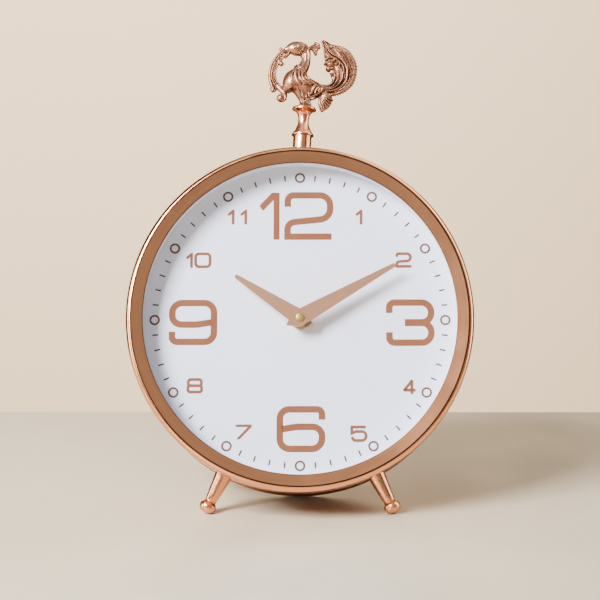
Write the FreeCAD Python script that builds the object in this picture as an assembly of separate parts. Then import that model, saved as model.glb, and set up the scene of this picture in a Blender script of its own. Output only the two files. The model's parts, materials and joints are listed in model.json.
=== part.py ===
import FreeCAD, Part
import math
import os

from FreeCAD import Placement, Rotation, Vector

# Table clock that leans back on two turned feet and the rear rim of its round case.
# Millimetres. Each piece is drawn in the clock's own axes: X to the viewer's right,
# Y up along the dial, Z out of the dial towards the viewer, zero on the dial's face.
# The whole clock is then tipped back until both feet and the rear rim meet the floor.

# Case drum and bezel
drum_r = 83.8
drum_wall = 0.9
drum_depth = 45.5
rim_bead_r = 1.6
bezel_fit = 0.2
bezel_skirt_wall = 1.2
bezel_skirt_reach = 6.0
bezel_band_width = 8.5
bezel_lip_z = 14.3
bezel_lip_thick = 1.0
bezel_dish = 1.1
bezel_groove_inset = 2.9
bezel_groove_width = 0.5
bezel_groove_depth = 0.7
bezel_shoulder_drop = 4.2

# Dial and glass
ring_play = 0.2
glass_thick = 2.0
spacer_show = 1.2
dial_thick = 0.8

# Back cover with its tabs and screws
cover_inset = 11.0
cover_thick = 1.0
cover_play = 0.4
window_margin = 4.0
window_corner_r = 4.0
tab_count = 3
tab_first_angle = 60.0
tab_width = 10.0
tab_reach = 9.0
tab_length = 8.0
tab_thick = 1.2
screw_inset = 4.4
screw_r = 1.4
screw_head_r = 2.8
screw_head_h = 1.8
screw_length = 5.0
hole_play = 0.2
thread_fit = 0.05

# Feet
foot_splay = 26.5
foot_behind_bezel = 0.8
foot_top_r = 4.45
foot_collar_h = 0.6
foot_neck_r = 3.0
foot_neck_at = 14.6
foot_ball_core = 1.2
foot_ball_round = 3.0
foot_ball_at = 18.4
foot_ball_first_angle = -48.0
foot_pad_depth = 0.2
foot_bolt_r = 2.0
foot_bolt_length = 9.0
foot_bolt_head_r = 3.5
foot_bolt_head_h = 2.4

# Finial column, heights above the drum's surface
finial_tilt = 3.5
finial_shift = 0.5
collar_r = 4.75
collar_top = 13.0
flange_r = 5.75
flange_edge = 0.6
flange_land = 0.4
waist_r = 3.0
waist_at = 20.4
disc_r = 6.25
disc_edge = 0.7
disc_land = 0.4
column_top = 27.1
stud_r = 2.0
stud_end = 33.0
stud_inside = 6.4
nut_across = 7.0
nut_h = 3.2
washer_r = 5.0
washer_h = 1.0

# Peacock casting, points to the right of the column's axis and above its disc
cap_r = 6.1
cap_edge = 0.5
cap_rise = 2.2
leg_base_r = 2.8
leg_top_r = 4.4
leg_top = (-1.2, 9.0)
body_nose = (-12.4, 13.6)
body_end = (11.2, 10.8)
body_r = 7.4
body_end_r = 1.8
neck_root = (-3.2, 16.0)
neck_foot = (-2.6, 21.0)
neck_bend = (-0.9, 25.0)
nape = (-1.2, 29.0)
neck_end = (-3.6, 32.2)
neck_radii = (5.2, 3.2, 2.6, 2.6, 3.3)
neck_band_r = 3.6
neck_band_h = 1.1
head_back = (-0.6, 32.2)
beak_tip = (-11.6, 31.4)
head_r = 3.6
beak_r = 1.5
garland_centre = (-7.0, 19.0)
garland_outer_r = 12.9
garland_band = 3.7
garland_first = 108.0
garland_last = 236.0
garland_thick = 3.2
scroll_after = 32.0
scroll_r = 1.3
scroll_bulge = 0.4
curl_ball_r = 2.2
curl_ball_at = (-12.3, 5.3)
curl_stem_r = 1.3
tail_thick = 3.0
tail_root = (9.0, 9.6)
tail_heel = (14.2, 7.0)
tail_hip = (22.0, 11.4)
tail_side = (25.6, 17.6)
tail_crown = (24.9, 28.8)
tail_crest = (16.4, 34.8)
tail_nick = (12.4, 34.9)
tail_tip = (7.2, 37.4)
tail_shoulder = (9.4, 27.0)
tail_curl = (9.0, 23.6)
tail_waist = (11.6, 20.8)
tail_lap = (13.9, 17.4)
tail_back = (10.4, 13.1)
rib_rise = 0.6
rib_width = 1.5
rib_count = 2
rib_pitch = 4.2
rib_root = (9.8, 12.0)
rib_crown = (16.6, 19.4)
rib_end = (11.4, 28.6)
rosette_r = 2.3
rosette_at = (11.6, 24.2)
crest_thick = 2.4
crest_lobe_r = 1.25
crest_stem_r = 0.9
crest_root = (-3.0, 32.6)
crest_top = (3.2, 34.3)
crest_middle = (4.4, 32.6)
crest_low = (3.0, 30.9)
tuft_root = (5.2, 7.4)
tuft_corner = (12.4, 8.4)
tuft_side = (14.0, 5.2)
tuft_end = (9.3, -1.1)
tuft_inner = (7.3, 3.2)

# Quartz movement
movement_wall = 1.2
movement_corner_r = 2.5
movement_split = 8.5
rubber_thick = 0.5
rubber_r = 8.0
bush_r = 3.95
bush_bore_r = 2.85
bush_rise = 4.6
bush_flange_r = 5.5
bush_flange_h = 1.2
nut_ring_r = 4.8
nut_ring_h = 2.2
battery_r = 7.25
battery_length = 50.5
battery_nub_r = 2.75
battery_nub_h = 1.3
battery_play = 0.2
battery_headroom = 0.1
contact_room = 1.55
contact_thick = 0.4
contact_width = 8.0
contact_bow_r = 2.4
contact_bow_h = 3.0
bay_wall = 1.2

# Pieces beside the wheels
room_play = 2.0
board_side_gap = 1.3
board_width = 10.0
board_thick = 1.0
board_drop = 1.0
board_post_r = 1.4
board_post_inset = 2.5
chip_r = 2.2
chip_h = 0.8
crystal_r = 1.0
crystal_length = 6.0
crystal_lift = 12.0
train_box_gap = 2.8
train_box_right = 8.2
train_box_height = 24.5
stator_thick = 1.2
stator_bar = 2.8
stator_length = 23.5
coil_side_gap = 3.1
coil_r = 3.2
coil_flange_rise = 0.5
coil_flange_thick = 0.8
coil_play = 0.4
coil_lift = 0.1

# Motion work; the wheels mesh in the order of these tooth counts
centre_teeth = 8
minute_teeth = 24
minute_pinion_teeth = 8
hour_teeth = 32
knob_teeth = 12
work_distance = 8.4
wheel_thick = 1.0
wheel_gap = 0.7
hour_wheel_float = 0.9
pinion_lap = 0.3
train_gap = 2.0
minute_wheel_bearing = 45.0
knob_bearing = 30.0
tooth_rise_share = 0.85
tooth_root_share = 1.15
tooth_tip_share = 0.38
pivot_r = 0.6
pivot_depth = 1.4
pivot_boss = 1.0
pivot_end_play = 0.3
run_fit = 0.07
pipe_bore_r = 1.78
pipe_rise = 8.1
arbor_rise = 9.9
knob_stem_r = 1.5
knob_stem_room = 0.8
knob_r = 6.5
knob_h = 3.0
knob_gap = 0.6
knob_flutes = 6
knob_flute_r = 1.2
knob_flute_depth = 0.5

# Hands
hand_thick = 0.5
hand_fit = 0.02
hour_hand_z = 7.2
minute_hand_z = 8.9
minute_length = 54.0
hour_length = 38.4
hand_half_width = 4.35
hand_tail = 8.0
hand_shoulder = 1.6
hand_tip_r = 1.1
hub_r = 3.4
hour_hub_h = 1.2
minute_hub_h = 0.6
cap_nut_r = 2.05
cap_nut_h = 0.9
minute_rest_angle = 60.6
hour_rest_angle = 303.3

# Sizes that follow from those above
skirt_r = drum_r + bezel_fit
bezel_r = skirt_r + bezel_skirt_wall
bezel_lip_r = bezel_r - bezel_band_width
bezel_groove_r = bezel_r - bezel_groove_inset
bezel_groove_z = bezel_lip_z + bezel_dish
glass_top_z = bezel_lip_z - bezel_lip_thick
glass_low_z = glass_top_z - glass_thick
ring_r = skirt_r - ring_play
drum_inner_r = drum_r - drum_wall
rim_z = -drum_depth
foot_z = -bezel_skirt_reach - foot_top_r - foot_behind_bezel
cover_z = rim_z + cover_inset
cover_r = drum_inner_r - cover_play
screw_circle_r = drum_inner_r - screw_inset
saddle = drum_r - math.sqrt(drum_r ** 2 - disc_r ** 2) + 1.0
movement_depth = movement_wall + 2 * battery_r + battery_play + battery_headroom
movement_side = battery_length + 2 * (contact_room + movement_wall)
movement_z = -dial_thick - rubber_thick
movement_back_z = movement_z - movement_depth
split_z = movement_z - movement_split
plate_z = movement_z - movement_wall
inner_back_z = movement_back_z + movement_wall
bay_half = movement_side / 2 - movement_wall
bay_drop = bay_half - battery_r - battery_play
bay_high_y = -bay_drop + battery_r + battery_play
room_low_y = bay_high_y + bay_wall + room_play
battery_z = movement_back_z + battery_r + battery_play
arbor_r = pipe_bore_r - run_fit
pipe_r = bush_bore_r - run_fit
centre_module = 2 * work_distance / (centre_teeth + minute_teeth)
hour_module = 2 * work_distance / (minute_pinion_teeth + hour_teeth)
knob_distance = centre_module * (minute_teeth + knob_teeth) / 2
bush_low_z = plate_z - bush_flange_h
hour_wheel_z = bush_low_z - hour_wheel_float - wheel_thick
minute_wheel_z = hour_wheel_z - wheel_gap - wheel_thick
train_top_z = minute_wheel_z - train_gap
board_z = train_top_z - board_drop
board_left = bay_half - board_side_gap - board_width
board_length = bay_half - room_play - room_low_y
board_middle_x = board_left + board_width / 2
coil_half = coil_r + coil_flange_rise
coil_x = coil_side_gap + coil_half - bay_half
train_box_left = coil_x + coil_half + train_box_gap
stator_z = inner_back_z + coil_half + coil_lift
stator_left = coil_x - stator_bar / 2


def polar(radius, bearing, start=(0, 0)):
    """Point at a distance and a clockwise bearing, from twelve o'clock, of another point."""
    turn = math.radians(bearing)
    return (start[0] + radius * math.sin(turn), start[1] + radius * math.cos(turn))


minute_spot = polar(work_distance, minute_wheel_bearing)
knob_spot = polar(knob_distance, knob_bearing, minute_spot)


# Shapes that several pieces use

def tube(outer, inner, low, high, centre=(0, 0)):
    """Cylinder along Z, hollow when it has an inner radius."""
    base = Vector(centre[0], centre[1], low)
    shape = Part.makeCylinder(outer, high - low, base)
    if inner > 0:
        shape = shape.cut(Part.makeCylinder(inner, high - low, base))
    return shape


def slab(x_low, x_high, y_low, y_high, z_low, z_high):
    """Plain block between six planes."""
    corner = Vector(x_low, y_low, z_low)
    return Part.makeBox(x_high - x_low, y_high - y_low, z_high - z_low, corner)


def rounded_block(side, corner_r, low, high):
    """Square block centred on the Z axis whose four upright edges are rounded."""
    half = side / 2
    block = slab(-half, half, -half, half, low, high)
    upright = [e for e in block.Edges if abs(e.tangentAt(e.FirstParameter).z) > 0.9]
    return block.makeFillet(corner_r, upright)


def turned(points):
    """Solid of revolution about Z from (radius, height) points."""
    corners = [Vector(r, 0, z) for r, z in points]
    face = Part.Face(Part.makePolygon(corners + corners[:1]))
    return face.revolve(Vector(0, 0, 0), Vector(0, 0, 1), 360)


def chords(centre, radii, first, last, count):
    """Points along a round or oval arc in a profile, by angles in degrees."""
    angles = [math.radians(first + (last - first) * k / count) for k in range(count + 1)]
    return [(centre[0] + radii[0] * math.cos(a), centre[1] + radii[1] * math.sin(a)) for a in angles]


def flat_plate(start, steps, thick):
    """Plate about the XY plane; a step is an end point, or a middle and an end for an arc."""
    edges = []
    here = Vector(start[0], start[1], -thick / 2)
    for step in steps:
        spots = [Vector(x, y, -thick / 2) for x, y in step]
        if len(spots) == 2:
            edges.append(Part.Arc(here, *spots).toShape())
        else:
            edges.append(Part.makeLine(here, spots[0]))
        here = spots[-1]
    return Part.Face(Part.Wire(edges)).extrude(Vector(0, 0, thick))


def along(shape, start, end):
    """Lay a piece drawn along +Z from one point of the XY plane towards another."""
    way = Vector(end[0] - start[0], end[1] - start[1], 0)
    result = shape.copy()
    result.Placement = Placement(Vector(start[0], start[1], 0), Rotation(Vector(0, 0, 1), way))
    return result


def radial(shape, bearing, base_r=0.0):
    """Stand a piece drawn along +Z on the drum, pointing outwards at a clockwise bearing."""
    upright = Rotation(Vector(1, 0, 0), -90)
    swing = Rotation(Vector(0, 0, 1), -bearing)
    x, y = polar(base_r, bearing)
    result = shape.copy()
    result.Placement = Placement(Vector(x, y, foot_z), swing.multiply(upright))
    return result


def off_drum(shape):
    """Saddle the lower end of a piece to the round wall of the drum."""
    return shape.cut(tube(drum_r, 0, foot_z - 2 * disc_r, foot_z + 2 * disc_r))


def gear(teeth, module, low, thick, centre=(0, 0), turn=0.0, bore=0.0):
    """Spur wheel with straight-flanked teeth and generous backlash, one tooth at the turn angle."""
    pitch_r = module * teeth / 2
    tip_r = pitch_r + tooth_rise_share * module
    root_r = pitch_r - tooth_root_share * module
    half = 180.0 / (2 * teeth)
    corners = ((root_r, -tooth_root_share), (tip_r, -tooth_tip_share), (tip_r, tooth_tip_share),
               (root_r, tooth_root_share))
    points = []
    for k in range(teeth):
        middle = turn + k * 360.0 / teeth
        for radius, share in corners:
            points.append(Vector(*polar(radius, middle + share * half, centre), low))
    shape = Part.Face(Part.makePolygon(points + points[:1])).extrude(Vector(0, 0, thick))
    if bore > 0:
        shape = shape.cut(tube(bore, 0, low, low + thick, centre))
    return shape


# Case pieces

def bezel_ring():
    """Spun ring: dished satin band, fine groove, rounded shoulder and a skirt over the drum."""
    groove_end = bezel_groove_r + bezel_groove_width
    shoulder_z = bezel_groove_z - bezel_shoulder_drop
    shoulder = chords((groove_end, shoulder_z), (bezel_r - groove_end, bezel_shoulder_drop), 90, 0, 3)
    band = [(bezel_lip_r, glass_top_z), (bezel_lip_r, bezel_lip_z), (bezel_groove_r, bezel_groove_z),
            (bezel_groove_r + bezel_groove_width / 2, bezel_groove_z - bezel_groove_depth)]
    skirt = [(bezel_r, -bezel_skirt_reach), (skirt_r, -bezel_skirt_reach), (skirt_r, glass_top_z)]
    return turned(band + shoulder + skirt)


def glass_lens():
    """Flat round pane behind the bezel's lip."""
    return tube(ring_r, 0, glass_low_z, glass_top_z)


def dial_spacer():
    """White ring that holds the glass off the dial and shows inside the bezel."""
    return tube(ring_r, bezel_lip_r + spacer_show, 0, glass_low_z)


def dial_plate():
    """Painted sheet with one centre hole for the threaded bush."""
    return tube(ring_r, bush_r + hole_play, -dial_thick, 0)


def rim_bead():
    """Profile of the wired bead that is rolled outwards round the drum's rear rim."""
    return chords((drum_r, rim_z + rim_bead_r), (rim_bead_r, rim_bead_r), 90, -90, 4)


def case_drum():
    """Spun steel drum, open at both ends, drilled for the feet and the finial."""
    wall = [(drum_inner_r, rim_z), (drum_inner_r, -dial_thick), (drum_r, -dial_thick)]
    drum = turned(wall + rim_bead())
    for bearing in foot_bearings():
        drum = drum.cut(radial(Part.makeCylinder(foot_bolt_r + hole_play, drum_r + saddle), bearing))
    drill = Part.makeCylinder(stud_r + hole_play, drum_r, Vector(0, 0, saddle - drum_r))
    return drum.cut(finial_place(drill))


def tab_bearings():
    """Clockwise bearings of the back cover's tabs and screws."""
    return [tab_first_angle + k * 360.0 / tab_count for k in range(tab_count)]


def back_cover():
    """Flat sheet inside the rear rim, with a square window over the movement."""
    low = cover_z - cover_thick
    window = rounded_block(movement_side + 2 * window_margin, window_corner_r, low, cover_z)
    plate = tube(cover_r, 0, low, cover_z).cut(window)
    for bearing in tab_bearings():
        spot = polar(screw_circle_r, bearing)
        plate = plate.cut(tube(screw_r + hole_play, 0, low, cover_z, spot))
    return plate


def cover_tabs():
    """Folded steel tabs, spot-welded inside the drum, that carry the back cover."""
    inside = tube(drum_inner_r, 0, cover_z, cover_z + tab_length)
    half = tab_width / 2
    fold_r = math.sqrt(drum_inner_r ** 2 - half ** 2) - tab_thick
    leg = slab(-half, half, fold_r, drum_r, cover_z, cover_z + tab_length)
    ledge = slab(-half, half, drum_inner_r - tab_reach, drum_r, cover_z, cover_z + tab_thick)
    hole = tube(screw_r + thread_fit, 0, cover_z, cover_z + tab_thick, (0, screw_circle_r))
    tabs = []
    for bearing in tab_bearings():
        tab = leg.fuse(ledge).cut(hole).common(inside).removeSplitter()
        tab.rotate(Vector(0, 0, 0), Vector(0, 0, 1), -bearing)
        tabs.append(tab)
    return Part.makeCompound(tabs)


def cover_screws():
    """Pan-head screws through the back cover into its tabs."""
    under_head = cover_z - cover_thick
    screws = []
    for bearing in tab_bearings():
        spot = polar(screw_circle_r, bearing)
        head = tube(screw_head_r, 0, under_head - screw_head_h, under_head, spot)
        screws.append(head.fuse(tube(screw_r, 0, under_head, under_head + screw_length, spot)))
    return Part.makeCompound(screws)


# Feet

def foot_bearings():
    """Clockwise bearings of the right and left foot."""
    return (180 - foot_splay, 180 + foot_splay)


def foot(bearing):
    """Turned foot: a cone from the drum to a neck, then a flattened ball, drilled for its bolt."""
    stem = [(0, -saddle), (foot_top_r, -saddle), (foot_top_r, foot_collar_h), (foot_neck_r, foot_neck_at)]
    ball = chords((foot_ball_core, foot_ball_at), (foot_ball_round, foot_ball_round),
                  foot_ball_first_angle, 90, 4)
    body = turned(stem + ball + [(0, foot_ball_at + foot_ball_round)])
    depth = saddle + foot_bolt_length
    body = body.cut(Part.makeCylinder(foot_bolt_r + thread_fit, depth, Vector(0, 0, -saddle)))
    return off_drum(radial(body, bearing, drum_r))


def foot_bolts():
    """Pan-head bolts from inside the drum into the two feet."""
    seat_r = math.sqrt(drum_inner_r ** 2 - foot_bolt_head_r ** 2)
    end_r = drum_r + foot_bolt_length - hole_play
    bolts = []
    for bearing in foot_bearings():
        head = Part.makeCylinder(foot_bolt_head_r, foot_bolt_head_h, Vector(0, 0, -foot_bolt_head_h))
        bolt = head.fuse(Part.makeCylinder(foot_bolt_r, end_r - seat_r))
        bolts.append(radial(bolt, bearing, seat_r))
    return Part.makeCompound(bolts)


# Finial, drawn along +Z from the drum's surface

def finial_place(shape):
    """Stand a finial piece on the drum, tipped a little to the viewer's right."""
    upright = Rotation(Vector(1, 0, 0), -90)
    tip = Rotation(Vector(0, 0, 1), -finial_tilt)
    stand = Placement(Vector(finial_shift, drum_r, foot_z), tip.multiply(upright))
    raised = shape.copy()
    raised.Placement = stand.multiply(raised.Placement)
    return raised


def finial_collar():
    """Plain turned spacer whose lower end is saddled to the drum."""
    return off_drum(finial_place(tube(collar_r, stud_r + hole_play, -saddle, collar_top)))


def finial_column():
    """Turned baluster: skirted flange, slim waist and a disc that carries the casting."""
    bore = stud_r + hole_play
    flange_top = collar_top + flange_edge
    flange_low = (flange_r - flange_land, waist_at)
    disc_low = column_top - disc_edge
    skirt = chords(flange_low, (flange_low[0] - waist_r, waist_at - flange_top), -90, -180, 3)
    trumpet_r = disc_r - disc_land
    trumpet = chords((trumpet_r, waist_at), (trumpet_r - waist_r, disc_low - waist_at), 180, 90, 3)
    return finial_place(turned(
        [(bore, collar_top), (flange_r, collar_top), (flange_r, flange_top)] + skirt + trumpet[1:]
        + [(disc_r, disc_low), (disc_r, column_top), (bore, column_top)]))


def finial_stud():
    """Threaded rod that ties the drum, collar, column and casting together."""
    return finial_place(Part.makeCylinder(stud_r, stud_end + stud_inside, Vector(0, 0, -stud_inside)))


def washer_seat():
    """Height of the flat washer's face, where the tipped washer just clears the drum's inner wall."""
    curve = drum_r - math.sqrt(drum_inner_r ** 2 - washer_r ** 2)
    return -curve - washer_r * math.tan(math.radians(finial_tilt)) - thread_fit


def finial_washer():
    """Plain washer under the nut, inside the drum."""
    top = washer_seat()
    return finial_place(tube(washer_r, stud_r + hole_play, top - washer_h, top))


def finial_nut():
    """Hexagon nut inside the drum."""
    top = washer_seat() - washer_h
    corners = [Vector(*polar(nut_across / math.sqrt(3), 60 * k), top - nut_h) for k in range(7)]
    hexagon = Part.Face(Part.makePolygon(corners)).extrude(Vector(0, 0, nut_h))
    return finial_place(hexagon.cut(tube(stud_r + thread_fit, 0, top - nut_h, top)))


# Peacock casting, drawn upright in the XY plane

def drop(ball_r, end_r, start, end):
    """Ball that tapers straight to a thin end, laid from one point of the XY plane to another."""
    length = math.dist(start, end)
    taper = math.asin((ball_r - end_r) / (length - ball_r))
    side = Vector(math.cos(taper), 0, math.sin(taper))
    pole = Vector(0, 0, 0)
    widest = Vector(ball_r, 0, ball_r)
    touch = Vector(0, 0, ball_r) + side * ball_r
    rim = Vector(0, 0, length) + side * end_r
    tip = Vector(0, 0, rim.z)
    outline = Part.Wire([Part.Arc(pole, widest, touch).toShape(), Part.makeLine(touch, rim),
                         Part.makeLine(rim, tip), Part.makeLine(tip, pole)])
    return along(Part.Face(outline).revolve(pole, Vector(0, 0, 1), 360), start, end)


def bird_body():
    """Full breast that thins towards the root of the tail."""
    return drop(body_r, body_end_r, body_nose, body_end)


def bird_neck():
    """S-curved neck from the shoulders to the back of the head, with the band at its foot."""
    path = (neck_root, neck_foot, neck_bend, nape, neck_end)
    rings = []
    last = len(path) - 1
    for k, (x, y) in enumerate(path):
        before = path[max(k - 1, 0)]
        after = path[min(k + 1, last)]
        way = Vector(after[0] - before[0], after[1] - before[1], 0)
        rings.append(Part.Wire(Part.Circle(Vector(x, y, 0), way, neck_radii[k]).toShape()))
    band = along(Part.makeCylinder(neck_band_r, neck_band_h), neck_foot, neck_bend)
    return Part.makeLoft(rings, True, True).fuse(band)


def bird_head():
    """Round head that thins to the beak, with the three-lobed crest on its stem behind."""
    head = drop(head_r, beak_r, head_back, beak_tip)
    reach = math.dist(crest_root, crest_middle)
    stem = along(Part.makeCylinder(crest_stem_r, reach), crest_root, crest_middle)
    lobes = [tube(crest_lobe_r, 0, -crest_thick / 2, crest_thick / 2, spot)
             for spot in (crest_top, crest_middle, crest_low)]
    return head.fuse([stem] + lobes)


def garland():
    """Curved leaf that hangs from the beak and ends in a ball against the breast."""
    angles = (garland_first, (garland_first + garland_last) / 2, garland_last)
    radii = (garland_outer_r, garland_outer_r - garland_band)
    outer, inner = [[chords(garland_centre, (r, r), a, a, 1)[0] for a in angles] for r in radii]
    band = flat_plate(outer[0], [outer[1:], [inner[2]], [inner[1], inner[0]], [outer[0]]], garland_thick)
    scroll_ring = radii[1] - scroll_bulge
    scroll_angle = garland_first + scroll_after
    scroll = chords(garland_centre, (scroll_ring, scroll_ring), scroll_angle, garland_last, 1)[0]
    scrolls = tube(scroll_r, 0, -garland_thick / 2, garland_thick / 2, scroll)
    ball = Part.makeSphere(curl_ball_r, Vector(*curl_ball_at, 0))
    leaf_end = chords(garland_centre, (radii[1] + garland_band / 2,) * 2, garland_last, garland_last, 1)[0]
    reach = math.dist(curl_ball_at, leaf_end)
    stem = along(Part.makeCylinder(curl_stem_r, reach), curl_ball_at, leaf_end)
    return band.fuse([scrolls, ball, stem])


def tail():
    """Upswept tail fan with raised quills, a rosette on its inner edge and the tuft below."""
    fan = flat_plate(tail_root, [[tail_heel], [tail_hip, tail_side], [tail_crown, tail_crest],
                                 [tail_nick, tail_tip], [tail_shoulder], [tail_curl, tail_waist],
                                 [tail_lap, tail_back], [tail_root]], tail_thick)
    pieces = []
    for k in range(rib_count):
        shift = k * rib_pitch
        root = (rib_root[0] + shift / 2, rib_root[1] - shift / 2)
        end = (rib_end[0] + shift, rib_end[1] + shift / 2)
        outer = (rib_crown[0] + shift, rib_crown[1])
        inner = (outer[0] - rib_width, outer[1])
        quill = flat_plate(root, [[outer, end], [inner, root]], tail_thick + 2 * rib_rise)
        pieces.append(quill)
    deep = tail_thick / 2 + rib_rise
    pieces.append(tube(rosette_r, 0, -deep, deep, rosette_at))
    pieces.append(flat_plate(tuft_root, [[tuft_corner], [tuft_side], [tuft_end], [tuft_inner], [tuft_root]],
                             tail_thick))
    return fan.fuse(pieces)


def peacock_finial():
    """Two-sided cast peacock on a small skirted cap, tapped from below for the stud."""
    cap = turned([(0, 0), (cap_r, 0), (cap_r, cap_edge), (leg_base_r, cap_rise), (0, cap_rise)])
    cap.rotate(Vector(0, 0, 0), Vector(1, 0, 0), -90)
    leg_start = (0, cap_edge)
    leg = along(Part.makeCone(leg_base_r, leg_top_r, math.dist(leg_start, leg_top)), leg_start, leg_top)
    bird = cap.fuse([leg, bird_body(), bird_neck(), bird_head(), garland(), tail()]).removeSplitter()
    bird.rotate(Vector(0, 0, 0), Vector(1, 0, 0), 90)
    bird = bird.cut(Part.makeCylinder(stud_r + thread_fit, stud_end - column_top + hole_play))
    bird.translate(Vector(0, 0, column_top))
    return finial_place(bird)


# Quartz movement

def movement_housing():
    """Front half of the plastic movement case, with the plate behind the dial."""
    shell = rounded_block(movement_side, movement_corner_r, split_z, movement_z)
    shell = shell.cut(slab(-bay_half, bay_half, -bay_half, bay_half, split_z, plate_z))
    shell = shell.cut(tube(bush_r + hole_play, 0, plate_z, movement_z))
    for spot, low in ((minute_spot, hour_wheel_z + wheel_thick), (knob_spot, minute_wheel_z + wheel_thick)):
        boss = tube(pivot_r + pivot_boss, pivot_r + run_fit, low + pivot_end_play, plate_z, spot)
        shell = shell.fuse(boss)
    return shell


def board_posts():
    """Places of the two posts that hold the circuit board off the rear wall."""
    return ((board_middle_x, room_low_y + board_post_inset),
            (board_middle_x, room_low_y + board_length - board_post_inset))


def movement_back():
    """Rear half of the movement case, with the open battery bay and the knob hole."""
    shell = rounded_block(movement_side, movement_corner_r, movement_back_z, split_z)
    shell = shell.cut(slab(-bay_half, bay_half, -bay_half, bay_half, inner_back_z, split_z))
    shell = shell.cut(slab(-bay_half, bay_half, -bay_half, bay_high_y, movement_back_z, inner_back_z))
    shell = shell.fuse(slab(-bay_half, bay_half, bay_high_y, bay_high_y + bay_wall, inner_back_z, plate_z))
    for spot in board_posts():
        shell = shell.fuse(tube(board_post_r, 0, inner_back_z, board_z, spot))
    return shell.cut(tube(knob_stem_r + run_fit, 0, movement_back_z, inner_back_z, knob_spot))


def circuit_board():
    """Narrow board beside the wheels, with the timing chip under its resin drop."""
    top = board_z + board_thick
    board = slab(board_left, board_left + board_width, room_low_y, room_low_y + board_length, board_z, top)
    chip_y = room_low_y + board_length - crystal_lift - crystal_length
    return board.fuse(tube(chip_r, 0, top, top + chip_h, (board_middle_x, chip_y - 2 * chip_r)))


def quartz_crystal():
    """Can of the quartz resonator, lying on the board."""
    low_y = room_low_y + board_length - crystal_lift - crystal_length
    can = Part.makeCylinder(crystal_r, crystal_length)
    can.rotate(Vector(0, 0, 0), Vector(1, 0, 0), -90)
    can.translate(Vector(board_middle_x, low_y, board_z + board_thick + crystal_r))
    return can


def train_box():
    """Sealed gear box that holds the stepping rotor and the fast wheels."""
    box = slab(train_box_left, train_box_right, room_low_y, room_low_y + train_box_height,
               inner_back_z, train_top_z)
    for spot in ((0, 0), minute_spot):
        box = box.cut(tube(pivot_r + run_fit, 0, train_top_z - pivot_depth - pivot_end_play,
                           train_top_z, spot))
    return box.cut(tube(knob_stem_r + knob_stem_room, 0, inner_back_z, train_top_z, knob_spot))


def stator_bar_slab(low_y, high_y, right):
    """One straight run of the laminated frame."""
    return slab(stator_left, right, low_y, high_y, stator_z, stator_z + stator_thick)


def stator_core():
    """Laminated iron frame that links the coil to the rotor inside the gear box."""
    high_y = room_low_y + stator_length
    leg = stator_bar_slab(room_low_y, high_y, stator_left + stator_bar)
    arms = [stator_bar_slab(low, low + stator_bar, train_box_left)
            for low in (room_low_y, high_y - stator_bar)]
    return leg.fuse(arms).removeSplitter()


def drive_coil():
    """Copper winding on its bobbin, round the long leg of the stator."""
    low = room_low_y + stator_bar + coil_play
    length = stator_length - 2 * (stator_bar + coil_play)
    winding = Part.makeCylinder(coil_r, length)
    flanges = [Part.makeCylinder(coil_r + coil_flange_rise, coil_flange_thick, Vector(0, 0, z))
               for z in (0, length - coil_flange_thick)]
    coil = winding.fuse(flanges)
    coil.rotate(Vector(0, 0, 0), Vector(1, 0, 0), -90)
    coil.translate(Vector(coil_x, low, stator_z + stator_thick / 2))
    return coil.cut(stator_bar_slab(room_low_y, room_low_y + stator_length, stator_left + stator_bar))


def battery_cell():
    """Round cell that lies in the bay, its nub to the viewer's right."""
    body = Part.makeCylinder(battery_r, battery_length - battery_nub_h)
    nub = Part.makeCylinder(battery_nub_r, battery_nub_h, Vector(0, 0, battery_length - battery_nub_h))
    cell = body.fuse(nub)
    cell.rotate(Vector(0, 0, 0), Vector(0, 1, 0), 90)
    cell.translate(Vector(-battery_length / 2, -bay_drop, battery_z))
    return cell


def contact_plate(side):
    """Contact strip against one end wall of the bay, bowed towards the cell."""
    half = contact_width / 2
    reach = bay_half - battery_length / 2 - battery_play
    bow = tube(contact_bow_r, 0, battery_z - contact_bow_h / 2, battery_z + contact_bow_h / 2,
               (bay_half - reach + contact_bow_r, -bay_drop))
    bow = bow.common(slab(bay_half - reach, bay_half, -bay_drop - half, -bay_drop + half,
                          battery_z - half, battery_z + half))
    plate = slab(bay_half - contact_thick, bay_half, -bay_drop - half, -bay_drop + half,
                 battery_z - half, battery_z + half).fuse(bow)
    if side < 0:
        plate = plate.mirror(Vector(0, 0, 0), Vector(1, 0, 0))
    return plate


def threaded_bush():
    """Brass bush with an inner flange; the nut clamps the dial against the movement."""
    sleeve = tube(bush_r, bush_bore_r, plate_z, bush_rise)
    return sleeve.fuse(tube(bush_flange_r, bush_bore_r, bush_low_z, plate_z))


def rubber_washer():
    """Soft washer between the movement and the dial."""
    return tube(rubber_r, bush_r + thread_fit, movement_z, -dial_thick)


def movement_nut():
    """Round brass nut on the dial's face."""
    return tube(nut_ring_r, bush_r + thread_fit, 0, nut_ring_h)


# Motion work and hands

def minute_arbor():
    """Centre arbor with its pinion; it carries the minute hand and its cap nut."""
    shaft = tube(arbor_r, 0, minute_wheel_z + wheel_thick, arbor_rise)
    pinion = gear(centre_teeth, centre_module, minute_wheel_z - pinion_lap, wheel_thick + 2 * pinion_lap,
                  turn=minute_wheel_bearing)
    return shaft.fuse([pinion, tube(pivot_r, 0, train_top_z - pivot_depth, minute_wheel_z)])


def hour_wheel():
    """Hour wheel and the pipe that runs in the bush and carries the hour hand."""
    wheel = gear(hour_teeth, hour_module, hour_wheel_z, wheel_thick, turn=minute_wheel_bearing,
                 bore=pipe_bore_r)
    return wheel.fuse(tube(pipe_r, pipe_bore_r, hour_wheel_z, pipe_rise))


def first_tooth():
    """Angle of a tooth of the minute wheel, half a pitch from the line to the centre."""
    return minute_wheel_bearing + 180 + 180.0 / minute_teeth


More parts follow.
